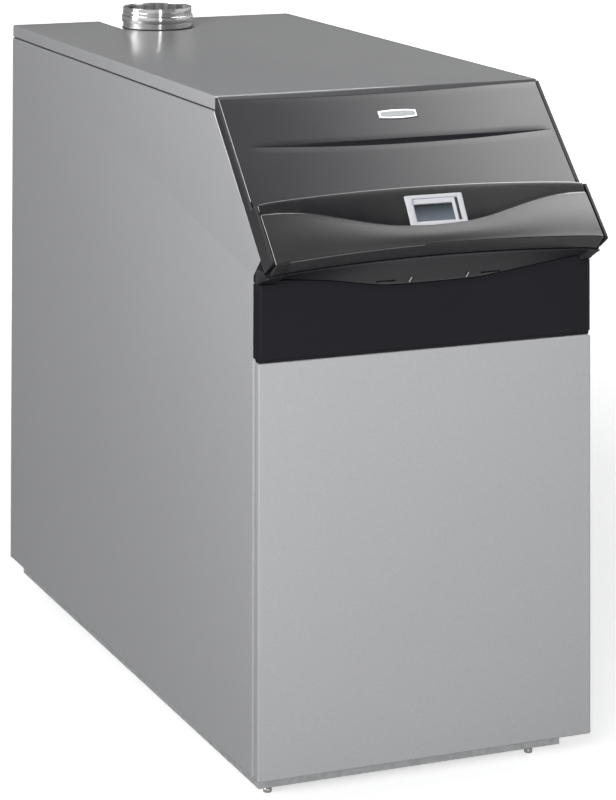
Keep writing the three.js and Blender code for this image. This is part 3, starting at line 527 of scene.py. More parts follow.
def round_poly(pts, radii, n=5):
    """Rounds the corners of a polygon; radii one per corner or one number."""
    out = []
    m = len(pts)
    for i in range(m):
        r = radii[i] if isinstance(radii, (list, tuple)) else radii
        p = Vector(pts[i]); a = Vector(pts[i - 1]) - p; b = Vector(pts[(i + 1) % m]) - p
        if r <= 0:
            out.append(tuple(p)); continue
        a.normalize(); b.normalize()
        ang = a.angle(b)
        t = r / math.tan(ang / 2)
        p0, p1 = p + a * t, p + b * t
        c = p + (a + b).normalized() * (r / math.sin(ang / 2))
        v0, v1 = p0 - c, p1 - c
        full = v0.angle(v1)
        sgn = 1 if (v0.x * v1.y - v0.y * v1.x) > 0 else -1
        for k in range(n + 1):
            th = sgn * full * k / n
            out.append((c.x + v0.x * math.cos(th) - v0.y * math.sin(th), c.y + v0.x * math.sin(th) + v0.y * math.cos(th)))
    return out


def offset_in(pts, d):
    """Mitre offset of a counter-clockwise polygon towards its inside."""
    m = len(pts)
    out = []
    for i in range(m):
        p = Vector(pts[i]); a = (p - Vector(pts[i - 1])); b = (Vector(pts[(i + 1) % m]) - p)
        if a.length < 1e-9: a = b.copy()
        if b.length < 1e-9: b = a.copy()
        na = Vector((-a.y, a.x)).normalized(); nb = Vector((-b.y, b.x)).normalized()
        mm = na + nb
        if mm.length < 1e-6:
            mm = na
        mm.normalize()
        k = d / max(0.25, mm.dot(na))
        out.append((p.x + mm.x * k, p.y + mm.y * k))
    return out


def ccw(pts):
    a = sum(pts[i - 1][0] * pts[i][1] - pts[i][0] * pts[i - 1][1] for i in range(len(pts)))
    return pts if a > 0 else pts[::-1]


def pan(name, poly, depth, t, r, place, mat, body, node, nseg=4, holes=(), angle=30):
    """A folded sheet pan: face at c = 0, folded edge of radius r, flange down to c = depth. place(a, b, c) -> mm."""
    poly = ccw(poly)
    prof = []                       # (inset, c)
    for i in range(nseg + 1):
        a = math.pi / 2 * i / nseg
        prof.append((r - r * math.sin(a), r - r * math.cos(a)))
    prof = [(ins, c) for ins, c in prof]
    prof += [(0.0, depth - 0.25), (0.25, depth), (t - 0.25, depth), (t, depth - 0.25)]
    ri = max(0.2, r - t)
    for i in range(nseg + 1):
        a = math.pi / 2 * (1 - i / nseg)
        prof.append((t + ri - ri * math.sin(a), t + ri - ri * math.cos(a)))
    rings = [[place(x, y, c) for x, y in (offset_in(poly, ins) if ins > 0 else poly)] for ins, c in prof]
    verts, faces = [], []
    n = len(poly)
    for rg in rings:
        verts += [Vector(p) * 0.001 for p in rg]
    for k in range(len(rings) - 1):
        for i in range(n):
            j = (i + 1) % n
            faces.append((k * n + i, k * n + j, (k + 1) * n + j, (k + 1) * n + i))
    faces.append(tuple(range(n))[::-1])
    faces.append(tuple((len(rings) - 1) * n + i for i in range(n)))
    return make(name, verts, faces, mat, body, node, angle=angle)


def loft(stations, close=True):
    """stations: lists of points of equal length -> verts, faces with capped ends."""
    n = len(stations[0])
    verts = [p for st in stations for p in st]
    faces = []
    for k in range(len(stations) - 1):
        for i in range(n):
            j = (i + 1) % n
            faces.append((k * n + i, k * n + j, (k + 1) * n + j, (k + 1) * n + i))
    faces.append(tuple(range(n))[::-1])
    faces.append(tuple((len(stations) - 1) * n + i for i in range(n)))
    return verts, faces


def lathe(name, prof, centre, axis, mat, body, node=None, n=64, angle=35, closed=True):
    """prof: (radius, along) mm, a closed loop (closed=True) or starting and ending on the axis."""
    ax = {"X": (Vector((0, 1, 0)), Vector((0, 0, 1)), Vector((1, 0, 0))),
          "Y": (Vector((0, 0, 1)), Vector((1, 0, 0)), Vector((0, 1, 0))),
          "Z": (Vector((1, 0, 0)), Vector((0, 1, 0)), Vector((0, 0, 1)))}[axis] if isinstance(axis, str) else axis
    c = Vector(centre)
    verts, faces, rows = [], [], []
    for r, h in prof:
        if r < 1e-6:
            rows.append([len(verts)] * n)
            verts.append((c + ax[2] * h) * 0.001)
        else:
            row = []
            for i in range(n):
                a = 2 * math.pi * i / n
                row.append(len(verts))
                verts.append((c + (ax[0] * math.cos(a) + ax[1] * math.sin(a)) * r + ax[2] * h) * 0.001)
            rows.append(row)
    m = len(rows)
    for k in range(m if closed else m - 1):
        a, b = rows[k], rows[(k + 1) % m]
        for i in range(n):
            j = (i + 1) % n
            f = []
            for q in (a[i], a[j], b[j], b[i]):
                if q not in f:
                    f.append(q)
            if len(f) >= 3:
                faces.append(tuple(f))
    return make(name, verts, faces, mat, body, node, angle=angle)


def prism(name, pts, c0, c1, place, mat, body, node=None, width=0.0, segs=2, angle=32, bang=35):
    verts = [Vector(place(a, b, c0)) * 0.001 for a, b in pts] + [Vector(place(a, b, c1)) * 0.001 for a, b in pts]
    n = len(pts)
    faces = [(i, (i + 1) % n, n + (i + 1) % n, n + i) for i in range(n)] + [tuple(range(n))[::-1], tuple(range(n, 2 * n))]
    o = make(name, verts, faces, mat, body, node, angle=angle)
    if width:
        bevel(o, width, segs, bang)
    return o


def sweep(name, pts, r, mat, body, node=None, n=14, rnd=20, steps=8, cap=True):
    """A round rod or cable along a polyline (mm) with rounded corners."""
    P = [Vector(p) for p in pts]
    path = [P[0]]
    for i in range(1, len(P) - 1):
        a = (P[i - 1] - P[i]); b = (P[i + 1] - P[i])
        k = min(rnd, a.length * 0.45, b.length * 0.45)
        p0 = P[i] + a.normalized() * k; p1 = P[i] + b.normalized() * k
        for s in range(steps + 1):
            t = s / steps
            path.append(p0 * (1 - t) ** 2 + P[i] * 2 * t * (1 - t) + p1 * t * t)
    path.append(P[-1])
    T = []
    for i in range(len(path)):
        d = Vector((0, 0, 0))
        if i > 0: d += (path[i] - path[i - 1]).normalized()
        if i < len(path) - 1: d += (path[i + 1] - path[i]).normalized()
        T.append(d.normalized())
    up = Vector((0, 0, 1)) if abs(T[0].z) < 0.9 else Vector((1, 0, 0))
    nrm = (up - T[0] * up.dot(T[0])).normalized()
    st = []
    for i, p in enumerate(path):
        nrm = (nrm - T[i] * nrm.dot(T[i])).normalized()
        bn = T[i].cross(nrm)
        st.append([(p + (nrm * math.cos(2 * math.pi * k / n) + bn * math.sin(2 * math.pi * k / n)) * r) * 0.001 for k in range(n)])
    v, f = loft(st)
    return make(name, v, f, mat, body, node)


def pchip(tab, x):
    xs = [t[0] for t in tab]; ys = [t[1] for t in tab]
    n = len(xs)
    if x <= xs[0]: return ys[0]
    if x >= xs[-1]: return ys[-1]
    h = [xs[i + 1] - xs[i] for i in range(n - 1)]
    dl = [(ys[i + 1] - ys[i]) / h[i] for i in range(n - 1)]
    d = [0.0] * n
    d[0], d[-1] = 0.0, dl[-1]
    for i in range(1, n - 1):
        d[i] = 0.0 if dl[i - 1] * dl[i] <= 0 else 2 / (1 / dl[i - 1] + 1 / dl[i])
    for i in range(n - 1):
        if x <= xs[i + 1]:
            t = (x - xs[i]) / h[i]
            return ((2 * t ** 3 - 3 * t ** 2 + 1) * ys[i] + (t ** 3 - 2 * t ** 2 + t) * h[i] * d[i]
                    + (-2 * t ** 3 + 3 * t ** 2) * ys[i + 1] + (t ** 3 - t ** 2) * h[i] * d[i + 1])


def seam(x):
    a = abs(x)
    return 159 + 8.1 * (a / 200) ** 2 + (2 * ((a - 200) / 25) ** 2 if a > 200 else 0)


def low_edge(x):
    return seam(x) + 86.2


WAVE = [(0, 219), (42, 217), (73, 212.3), (110, 203), (147, 193.6), (172, 189.2), (197, 187.6), (225, 188.2)]


def wave(x):
    return pchip(WAVE, abs(x))


def scoop_depth(x):
    t = min(1, abs(x) / 222)
    return 1.6 + 7.4 * (0.5 + 0.5 * math.cos(math.pi * t))


def lin(a, b, t):
    return a + (b - a) * t


# ------------------------------------------------------------------ casing
Yf = B["front_panel"][0][1]                   # front face of the lower panel
Zp0, Zs1 = B["left_side_panel"][0][2], B["left_side_panel"][1][2]
W2 = B["left_side_panel"][0][0] * -1
SY0, SY1 = B["left_side_panel"][0][1], B["left_side_panel"][1][1]
side = [(-477, Zp0), (SY1, Zp0), (SY1, Zs1), (-341, Zs1), (SY0, 669), (-477, 645)]
side_r = round_poly(side, 2.6, 4)
for k, node in ((-1, "left_side_panel"), (1, "right_side_panel")):
    pan(node + "_sheet", side_r, 14.0, 1.2, 2.0, (lambda a, b, c, k=k: (k * (W2 - c), a, b)), "casing_paint", "boiler", node)

fx0, fx1 = B["front_panel"][0][0], B["front_panel"][1][0]
fz0, fz1 = B["front_panel"][0][2], B["front_panel"][1][2]
pan("front_panel_sheet", rround(fx0, fx1, fz0, fz1, 2.9, 5), 12.0, 1.2, 1.8, lambda a, b, c: (a, Yf + c, b), "casing_paint", "front_panel", "front_panel", nseg=6)

lx0, lx1 = B["top_panel"][0][0], B["top_panel"][1][0]
ly0, ly1 = B["top_panel"][0][1], B["top_panel"][1][1]
lz0, lz1 = B["top_panel"][0][2], B["top_panel"][1][2]
fcx = (B["flue_collar"][0][0] + B["flue_collar"][1][0]) / 2
fcy = (B["flue_collar"][0][1] + B["flue_collar"][1][1]) / 2
ftop = B["flue_collar"][1][2]
NR = 57.0
lid = [(lx0, ly0), (lx1, ly0), (lx1, ly1), (fcx + NR, ly1), (fcx + NR, fcy)]
arc = [(fcx + NR * math.cos(-math.pi * i / 40), fcy + NR * math.sin(-math.pi * i / 40)) for i in range(1, 40)]
lid_poly = round_poly(lid[:4], [3, 3, 3, 2], 4) + [(fcx + NR, fcy)] + arc + [(fcx - NR, fcy)]
lid_poly += round_poly([(fcx - NR, fcy), (fcx - NR, ly1), (lx0, ly1), (lx0, ly0)], [0, 2, 3, 0], 4)[1:-1]
lid_poly[0:0] = []
# the first corner was rounded against the wrong neighbour by the split, so it is rebuilt
lid_full = [(lx0, ly0), (lx1, ly0), (lx1, ly1), (fcx + NR, ly1), (fcx + NR, fcy)] + arc + [(fcx - NR, fcy), (fcx - NR, ly1), (lx0, ly1)]
radii = [3, 3, 3, 2, 0] + [0] * len(arc) + [0, 2, 3]
pan("top_panel_sheet", round_poly(lid_full, radii, 4), lz1 - lz0, 1.2, 1.8, lambda a, b, c: (a, b, lz1 - c), "casing_paint", "boiler", "top_panel", nseg=4)

refine("rear_panel", 0.35, 1)
refine("base_frame", 0.5, 2)

# ------------------------------------------------------------------ hood cover
CE = 221.4


def V(x, y, z):
    return Vector((x, y, z)) * 0.001


def cover_top(u):
    h = pchip([(-225, 3.2), (-150, 4.2), (-60, 5.1), (20, 5.0), (90, 3.9), (165, 2.1), (225, 1.1)], u)
    return max(0.4, (h - 0.7) * 1.4142)


def cover_station(u, ins, full):
    se = seam(u) - ins
    tp = cover_top(u)
    t = (u - 8) / 206.0
    hf = max(0.0, 1 - t * t)
    a = 77.9 - 0.3 * hf
    b = a + 0.5 + 8.4 * hf
    dep = 2.7 * min(1.0, hf * 2.2)
    p = [(12.6, -11.2), (tp + 2.6 + ins, -4.4 - ins), (tp + 0.4 + ins, -2.4 - ins), (tp + ins, -1.0 - ins), (tp + 0.05 + ins, -0.45 - ins), (tp + 0.3 + ins, -0.10 - ins), (tp + 0.7 + ins, -ins)]
    for i in range(1, 8):
        p.append((lin(tp + 0.9, a - 0.5, i / 8), -ins))
    for x, g in ((-0.06, 0), (0, 0.012), (0.06, 0.10), (0.2, 0.30), (0.4, 0.55), (0.6, 0.76), (0.8, 0.92), (0.90, 1.0), (0.935, 0.97), (0.965, 0.5), (0.985, 0.12), (1.0, 0.02), (1.05, 0)):
        p.append((lin(a, b, x), -ins - dep * g))
    for i in range(1, 10):
        p.append((lin(b + 0.8, se - 1.4, i / 9), -ins))
    p += [(se - 0.4, -0.4 - ins), (se, -1.4 - ins)]
    m = 10
    if full:
        p += [(se, -4.0), (se, -10.8)]
        for i in range(m):
            p.append((lin(se, 14.0, (i + 1) / m), -11.2))
    else:
        p += [(se, -2.6), (se - 0.2, -3.3)]
        for i in range(m):
            p.append((lin(se - 0.3, 9.0 + tp * 0.4, (i + 1) / m), -3.3 if i < m - 1 else -7.6))
    return [H(u, s, w) for s, w in p]


us = [-CE + (2 * CE) * i / 150 for i in range(151)]
inner_us = [u for u in us if abs(u) < 218.9]
st = [cover_station(-CE, 1.1, True), cover_station(-CE + 0.32, 0.34, True), cover_station(-CE + 1.1, 0, True), cover_station(-219.02, 0, True)]
st += [cover_station(u, 0, False) for u in [-219.0] + inner_us + [219.0]]
st += [cover_station(219.02, 0, True), cover_station(CE - 1.1, 0, True), cover_station(CE - 0.32, 0.34, True), cover_station(CE, 1.1, True)]
v, f = loft(st)
cover = make("console_cover_shell", v, f, "hood_satin", "boiler", "console_cover", angle=20)
# dark grey strip along the lid's front fold, in front of its joint with the cover; it rises towards the right, painted
# shade that hides the fold's highlight there
st = []
for i in range(61):
    u = lin(-221.2, 221.2, i / 60)
    s0 = cover_top(u)
    yf = -349 - (s0 + 0.5) / 1.4142
    ht = 839.0 + 4.7 + 1.4 * min(1.0, max(0.0, (u + 70) / 140.0))
    zc = 843 - (s0 + 2.0) / 1.4142
    yb = max(yf + 1.2, B["top_panel"][0][1] - 0.15)
    st.append([V(u, yb, zc), V(u, yf + 0.15, zc), V(u, yf, zc + 0.3), V(u, yf, ht - 0.5), V(u, yf + 0.15, ht - 0.15), V(u, yf + 0.5, ht), V(u, yb, ht)])
v_, f_ = loft(st)
make("lid_front_trim", v_, f_, "trim_grey", "boiler", angle=35)
# seat of the blank badge
BX, BS = 11.0, 40.6


def barrel(w, h, bulge, n=10):
    p = []
    for i in range(n + 1):
        t = -1 + 2 * i / n
        p.append((t * w / 2, -h / 2 - bulge * (1 - t * t)))
    for i in range(n + 1):
        t = 1 - 2 * i / n
        p.append((t * w / 2, h / 2 + bulge * (1 - t * t)))
    return round_poly(p, [0] * len(p), 1)


seat = barrel(55, 12.4, 1.8)
n_ = len(seat)
vs = [H(BX + a, BS - b, -1.2) for a, b in seat] + [H(BX + a, BS - b, 3) for a, b in seat]
fs = [(i, (i + 1) % n_, n_ + (i + 1) % n_, n_ + i) for i in range(n_)] + [tuple(range(n_))[::-1], tuple(range(n_, 2 * n_))]
cut_with(cover, tmp_obj(vs, fs))
shade(cover.data, 20)


def hood_place(a, b, c):
    q = H(a, -b, c)
    return (q.x * 1000, q.y * 1000, q.z * 1000)


bp = barrel(52.4, 10.2, 1.8)
prism("badge_plate_blank", [(BX + a, -BS + b) for a, b in bp], -1.15, 0.9, hood_place, "badge_metal", "boiler", "badge_plate", width=0.5, segs=3, bang=40)
prism("badge_inlay", [(BX + a, -BS + b) for a, b in barrel(49.0, 7.2, 1.3)], 0.86, 1.05, hood_place, "badge_inlay", "boiler", width=0.08, segs=1, bang=40)
# raised frame of the badge
fr = barrel(54.4, 12.0, 1.8)
fo = [(BX + a, -BS + b) for a, b in fr]
fi = [(BX + a * 0.945, -BS + b * 0.84) for a, b in fr]
stn = [[H(a, -b, -1.1) for a, b in fo], [H(a, -b, 0.5) for a, b in fo], [H(a + (c - a) * 0.25, -(b + (d - b) * 0.25), 0.8) for (a, b), (c, d) in zip(fo, fi)], [H(a, -b, 0.55) for a, b in fi], [H(a, -b, -1.1) for a, b in fi]]
nn = len(fo)
vv = [p for s_ in stn for p in s_]
ff = [(k * nn + i, k * nn + (i + 1) % nn, ((k + 1) % 5) * nn + (i + 1) % nn, ((k + 1) % 5) * nn + i) for k in range(5) for i in range(nn)]
make("badge_frame", vv, ff, "black_plastic", "boiler")

refine("console_housing", 0.7, 3, mat="cheek_black")
for k in (-1, 1):
    sd = "left" if k < 0 else "right"
    # painted highlight: the left bead is dark metal so it shows a bright line, the right one is the cheek's black
    # plastic
    sweep("cheek_edge_bead_" + sd, [H(k * 222.1, 3.0, 0.15) * 1000, H(k * 222.1, 80, 0.15) * 1000, H(k * 222.1, 158.5, 0.15) * 1000], 0.55, "badge_dark" if k < 0 else "cheek_black", "boiler", n=12)

# ------------------------------------------------------------------ flap
FE = 221.4


def nose_shift(u):
    return 1.2 - 2.2 * u / 221.0 * (0.9 if u > 0 else 1.0)


def flap_station(u, ins, full):
    te = seam(u) + 2.0 + ins
    lo = low_edge(u) + nose_shift(u) - ins
    top = FW - ins
    wv, d = wave(u), scoop_depth(u)
    bot = -11.2 + ins
    p = [(te, top - 3.0), (te, top - 1.3), (te + 0.4, top - 0.4), (te + 1.3, top)]
    sc = []
    for i in range(14):
        t = i / 13
        sc.append((lin(te + 2.0, wv - 3.0, t), top - d * t ** 1.7))
    p += sc
    p += [(wv - 3 + 3 * f_, top - d * (1 - g_)) for f_, g_ in ((0.45, 0.05), (0.62, 0.22), (0.80, 0.72), (0.90, 0.93), (1.0, 1.0), (1.2, 1.0))]
    lw = []
    for i in range(9):
        t = i / 8
        lw.append((lin(wv + 1.6, lo - 1.7, t), top + 0.5 * math.sin(math.pi * t)))
    p += lw
    p += [(lo - 1.25, top), (lo - 0.95, top - 0.03), (lo - 0.5, top - 0.2), (lo - 0.15, top - 0.55), (lo, top - 1.05), (lo - 0.02, top - 1.5)]
    p += [(lin(lo - 0.1, lo - 1.0, t), lin(top - 3, -11.0 + ins, t)) for t in (0.0, 0.2, 0.45, 0.7, 0.95)]
    p += [(lo - 1.2, -11.9 + ins), (lo - 1.7, -12.4 + ins), (lo - 2.6, -12.5 + ins)]
    if not full:
        p += [(lo - 4.2, -12.0), (lo - 4.2, -6), (lo - 4.0, 0), (lo - 3.8, top - 6), (lo - 4.2, top - 3.4)]
        p += [(s, w - 3.0) for s, w in lw[::-1][1:]]
        p += [(s, w - 3.0) for s, w in sc[::-1]]
    else:
        q = [lin(lo - 4.0, te + 0.3, i / 26.0) for i in range(27)]
        p += [(s, bot) for s in q]
    return [H(u, s, w) for s, w in p]


us = [-FE + (2 * FE) * i / 180 for i in range(181)]
inner_us = [u for u in us if abs(u) < 218.2]
st = [flap_station(-FE, 1.6, True), flap_station(-FE + 0.22, 0.75, True), flap_station(-FE + 0.75, 0.22, True), flap_station(-FE + 1.6, 0, True), flap_station(-FE + 1.9, 0, True), flap_station(-218.42, 0, True)]
st += [flap_station(u, 0, False) for u in [-218.4] + inner_us + [218.4]]
st += [flap_station(218.42, 0, True), flap_station(FE - 1.9, 0, True), flap_station(FE - 1.6, 0, True), flap_station(FE - 0.75, 0.22, True), flap_station(FE - 0.22, 0.75, True), flap_station(FE, 1.6, True)]
v, f = loft(st)
flap = make("control_flap_shell", v, f, "flap_textured", "control_flap", "control_flap", angle=28)
# window opening, in the bezel's own tilted frame
BA = rad(13)
BU, BV, BW = 10.6, -194.9, 9.4


def bez(x, y, z):
    vv_ = BV + y * math.cos(BA) - z * math.sin(BA)
    ww_ = BW + y * math.sin(BA) + z * math.cos(BA)
    q = H(BU + x, -vv_, ww_)
    return (q.x * 1000, q.y * 1000, q.z * 1000)


op = rround(-38.0, 39.0, -19.6, 19.6, 1.2, 3)
n_ = len(op)
vs = [Vector(bez(a, b, -12)) * 0.001 for a, b in op] + [Vector(bez(a, b, 12)) * 0.001 for a, b in op]
fs = [(i, (i + 1) % n_, n_ + (i + 1) % n_, n_ + i) for i in range(n_)] + [tuple(range(n_))[::-1], tuple(range(n_, 2 * n_))]
cut_with(flap, tmp_obj(vs, fs))
shade(flap.data, 28)
# hinge ears inside the flap
for k in (-1, 1):
    ax = (Vector((0, 1, 0)), Vector((0, 0, 1)), Vector((1, 0, 0)))
    c = H(0, HINGE_S, HINGE_W) * 1000
    lathe("flap_hinge_ear_" + ("left" if k < 0 else "right"), [(2.65, 0), (4.0, 0), (4.0, 3.4), (2.65, 3.4)], (k * 215.6 - (3.4 if k < 0 else 0), c.y, c.z), "X", "flap_textured", "control_flap", None, n=32)
for n in ("hinge_pin_left", "hinge_pin_right"):
    refine(n, 0.25, 2)

# bezel: moulded frame with a stepped inner ledge


def ring_loft(name, rings, mat, body, node=None, place=None, angle=30):
    """rings: list of (outline, height), walked as a closed tube round the opening."""
    n = len(rings[0][0])
    verts = [Vector(place(a, b, c)) * 0.001 for pts, c in rings for a, b in pts]
    m = len(rings)
    faces = [(k * n + i, k * n + (i + 1) % n, ((k + 1) % m) * n + (i + 1) % n, ((k + 1) % m) * n + i) for k in range(m) for i in range(n)]
    return make(name, verts, faces, mat, body, node, angle=angle)


def rr4(x0, x1, y0, y1, r):
    return rround(x0, x1, y0, y1, r, 4)


rings = [
    (rr4(-38.6, 39.6, -20.3, 20.3, 1.6), -6.2), (rr4(-38.6, 39.6, -20.3, 20.3, 1.6), 0.3), (rr4(-38.3, 39.3, -20.0, 20.0, 1.5), 0.85), (rr4(-37.7, 38.7, -19.4, 19.4, 1.3), 1.1),
    (rr4(-29.6, 34.4, -15.6, 16.6, 1.2), 1.1), (rr4(-29.1, 33.9, -15.1, 16.1, 1.0), 0.8), (rr4(-28.9, 33.7, -14.9, 15.9, 0.9), 0.2), (rr4(-28.8, 33.6, -14.8, 15.8, 0.9), -2.6),
    (rr4(-27.2, 26.6, -13.4, 10.4, 0.8), -2.7), (rr4(-26.8, 26.2, -13.0, 10.0, 0.7), -3.1), (rr4(-26.8, 26.2, -13.0, 10.0, 0.7), -6.2)]
ring_loft("display_bezel_frame", rings, "light_plastic", "control_flap", "display_bezel", bez)
prism("display_bezel_gap", rr4(29.6, 33.4, -14.6, 15.4, 0.3), -2.62, -2.3, bez, "black_plastic", "control_flap", width=0.1, segs=1)
# pane
prism("display_window_pane", rr4(-26.6, 26.0, -12.8, 9.8, 0.6), -5.9, -5.1, bez, "clear_pane", "control_flap", "display_window", width=0.15, segs=2)
prism("lcd_carrier", rr4(-19.5, 43.5, -206.5, -174.5, 0.8), -5.15, -1.0, hood_place, "black_plastic", "boiler", width=0.4, segs=2)
prism("lcd_face", rr4(-18.5, 42.5, -206.0, -175.5, 0.4), -1.05, -0.55, hood_place, "lcd_grey", "boiler", width=0.1, segs=1)
refine("lcd_module", 0.4, 2, mat="black_plastic")

# ------------------------------------------------------------------ black fascia band and the grip panel above it
ARC = [(-222, 641.5), (-188, 640.8), (-129, 635.3), (-71, 626.6), (-45, 624.7), (15.5, 624.8), (56.5, 625.4), (75.7, 626.7), (119, 632.0), (161, 637.4), (214, 643.5), (222, 643.5)]


def smooth_tab(tab, x):
    xs = [t[0] for t in tab]
    if x <= xs[0]: return tab[0][1]
    if x >= xs[-1]: return tab[-1][1]
    n = len(tab)
    m = []
    for i in range(n):
        if i == 0: m.append((tab[1][1] - tab[0][1]) / (xs[1] - xs[0]))
        elif i == n - 1: m.append((tab[-1][1] - tab[-2][1]) / (xs[-1] - xs[-2]))
        else: m.append((tab[i + 1][1] - tab[i - 1][1]) / (xs[i + 1] - xs[i - 1]))
    for i in range(n - 1):
        if x <= xs[i + 1]:
            h = xs[i + 1] - xs[i]
            t = (x - xs[i]) / h
            return ((2 * t ** 3 - 3 * t ** 2 + 1) * tab[i][1] + (t ** 3 - 2 * t ** 2 + t) * h * m[i]
                    + (-2 * t ** 3 + 3 * t ** 2) * tab[i + 1][1] + (t ** 3 - t ** 2) * h * m[i + 1])


GRIP_L, GRIP_R = -199.0, 209.0
FA0, FA1 = B["lower_fascia"][0], B["lower_fascia"][1]
FX = -FA0[0]
FZ0 = FA0[2]
FYB = FA1[1]


def fascia_top(x):
    if x < GRIP_L - 1.5 or x > GRIP_R + 1.5:
        return 637.0
    return smooth_tab(ARC, x)


# corner of the band in plan: rounded vertical edges, so the stations follow the rounding
def band_plan():
    c = [(-FX, -490.2), (-FX + 0.02, -490.9), (-FX + 0.35, -491.5)]
    c += [(-FX + lin(0.55, 3.0, t), lin(-491.7, -494.25, t)) for t in (0.0, 0.5, 1.0)]
    c += [(-FX + 3.35, -494.55), (-FX + 3.9, -494.85), (-FX + 4.7, -494.98), (-FX + 5.4, -495.0)]
    n = 96
    mid = [(lin(-FX + 5.4, FX - 5.4, i / n), -495.0) for i in range(1, n)]
    return c + mid + [(-x, y) for x, y in reversed(c)]


plan = [(-FX, FYB)] + band_plan() + [(FX, FYB)]
outer, inner = [], []
pl = [Vector(p) for p in plan]
for i, p in enumerate(pl):
    a = (pl[min(i + 1, len(pl) - 1)] - pl[max(i - 1, 0)]).normalized()
    nrm = Vector((-a.y, a.x))
    outer.append(p)
    inner.append(p + nrm * 3.0)
st = []
for o_, i_ in zip(outer, inner):
    zt = fascia_top(o_.x) - 0.5
    d = (o_ - i_).normalized()
    q = []
    q += [V(i_.x, i_.y, FZ0), V(o_.x - d.x * 1.2, o_.y - d.y * 1.2, FZ0), V(o_.x - d.x * 0.35, o_.y - d.y * 0.35, FZ0 + 0.35), V(o_.x, o_.y, FZ0 + 1.2)]
    for k in range(1, 8):
        q.append(V(o_.x, o_.y, lin(FZ0 + 1.2, zt - 1.0, k / 8)))
    q += [V(o_.x, o_.y, zt - 1.0), V(o_.x - d.x * 0.3, o_.y - d.y * 0.3, zt - 0.3), V(o_.x - d.x * 1.0, o_.y - d.y * 1.0, zt), V(i_.x, i_.y, zt)]
    st.append(q)
v, f = loft(st)
make("lower_fascia_band", v, f, "fascia_black", "boiler", "lower_fascia", angle=40)


def lip_z(x):
    lo = low_edge(x) + nose_shift(x)
    return HZ0 + (-12.5 - (lo - 1.7)) * R2


def lip_y(x):
    lo = low_edge(x) + nose_shift(x)
    return HY0 - ((lo - 1.7) - 12.5) * R2


def grip_station(x, dent=0.0, ends=False):
    za = fascia_top(x) + 0.4
    yt, zt = lip_y(x) - 0.5, lip_z(x) - 2.2
    yb = -494.6 + dent
    q = []
    n = 10
    for k in range(n + 1):
        t = k / n
        bulge = 2.2 * math.sin(math.pi * t)
        q.append((lin(yb, yt + dent, t) + bulge * 0.55, lin(za, zt, t) - bulge * 0.0))
    q += [(yt + 0.6 + dent, zt + 0.5), (yt + 2.0 + dent, zt + 0.7), (yt + 5, zt + 0.5), (yt + 12, 656), (-489.5, 655.5), (-487.5, 651), (-487, za + 6), (-487.5, za + 1.5), (-488.6, za + 0.2)]
    return [V(x, a, b) for a, b in q]


gx = [-FX + 0.0, -FX + 0.7, -FX + 2.0, -215, -207, GRIP_L - 2.2, GRIP_L - 1.0, GRIP_L - 0.9, GRIP_L + 0.9, GRIP_L + 1.0, GRIP_L + 2.2]
m = 84
gx += [lin(GRIP_L + 2.2, GRIP_R - 2.2, i / m) for i in range(1, m)]
gx += [GRIP_R - 2.2, GRIP_R - 1.0, GRIP_R - 0.9, GRIP_R + 0.9, GRIP_R + 1.0, GRIP_R + 2.2, 216, FX - 2.0, FX - 0.7, FX]
st = []
for x in gx:
    dent = 0.0
    if min(abs(x - GRIP_L), abs(x - GRIP_R)) < 0.95:
        dent = 3.0
    e = FX - abs(x)
    if e < 2.1:
        dent = 1.8 * (1 - e / 2.0) ** 2
    st.append(grip_station(x, dent))
v, f = loft(st)
grip = make("console_grip_panel", v, f, "grip_black", "boiler", angle=30)
# two vent slots in the grip panel
for i, (a, b, z) in enumerate(((-71, -46, 629.9), (70, 98, 631.2))):
    n_ = 4
    vs = [V(a, -520, z - 1.2), V(b, -520, z - 1.2), V(b, -520, z + 1.2), V(a, -520, z + 1.2), V(a, -491, z - 1.2), V(b, -491, z - 1.2), V(b, -491, z + 1.2), V(a, -491, z + 1.2)]
    fs = [(0, 1, 2, 3), (7, 6, 5, 4), (0, 4, 5, 1), (1, 5, 6, 2), (2, 6, 7, 3), (3, 7, 4, 0)]
    cut_with(grip, tmp_obj(vs, fs))
shade(grip.data, 30)

# black return under the band, flank caps that close the console's side below the cheeks
prism("fascia_lower_return", [(-FX + 2.6, -492.6), (FX - 2.6, -492.6), (FX - 2.6, -480.5), (-FX + 2.6, -480.5)], 542.5, 546.3, lambda a, b, c: (a, b, c), "fascia_black", "boiler", width=0.3, segs=1)
cap = [(-494.4, 637.6), (-517.4, 655.0), (-516.9, 656.0), (-512.9, 658.2), (-504.0, 666.9), (-501.4, 667.4), (-479.2, 645.4), (-479.2, 637.6)]
for k in (-1, 1):
    prism("console_flank_cap_" + ("left" if k < 0 else "right"), cap[::k], 222.4, 225.9, (lambda a, b, c, k=k: (k * c, a, b)), "fascia_black", "boiler", width=0.5, segs=2)
LG = [(-203.5, 10.5), (-204.2, 4.0), (-205.0, -4.0), (-206.0, -10.5)]
gp = []
for u, w in LG:
    lo = low_edge(u) + nose_shift(u)
    gp.append(H(u, lo + 0.02, w) * 1000)
sweep("lip_joint_left", gp, 0.7, "rubber_black", "control_flap", n=10)
# light grey strip along the left half of the flap's nose, a painted highlight line
gp = []
for i in range(40):
    u = lin(-201.0, -22.0, i / 39)
    gp.append(H(u, low_edge(u) + nose_shift(u) + 0.02 - 0.35 * (i / 39), FW - 0.95) * 1000)
sweep("flap_nose_bead", gp, 0.55, "bead_grey", "control_flap", n=10, rnd=2, steps=2)
for i, (u, z) in enumerate(((-26.5, 630.0), (51, 630.6))):
    c0 = Vector((u, -499.2, z))
    dirv = Vector((0.42, -0.25, 0.87)).normalized()
    sweep("console_clip_%d" % (i + 1), [c0 - dirv * 3.4, c0 + dirv * 3.4], 0.75, "badge_metal", "boiler", n=10)
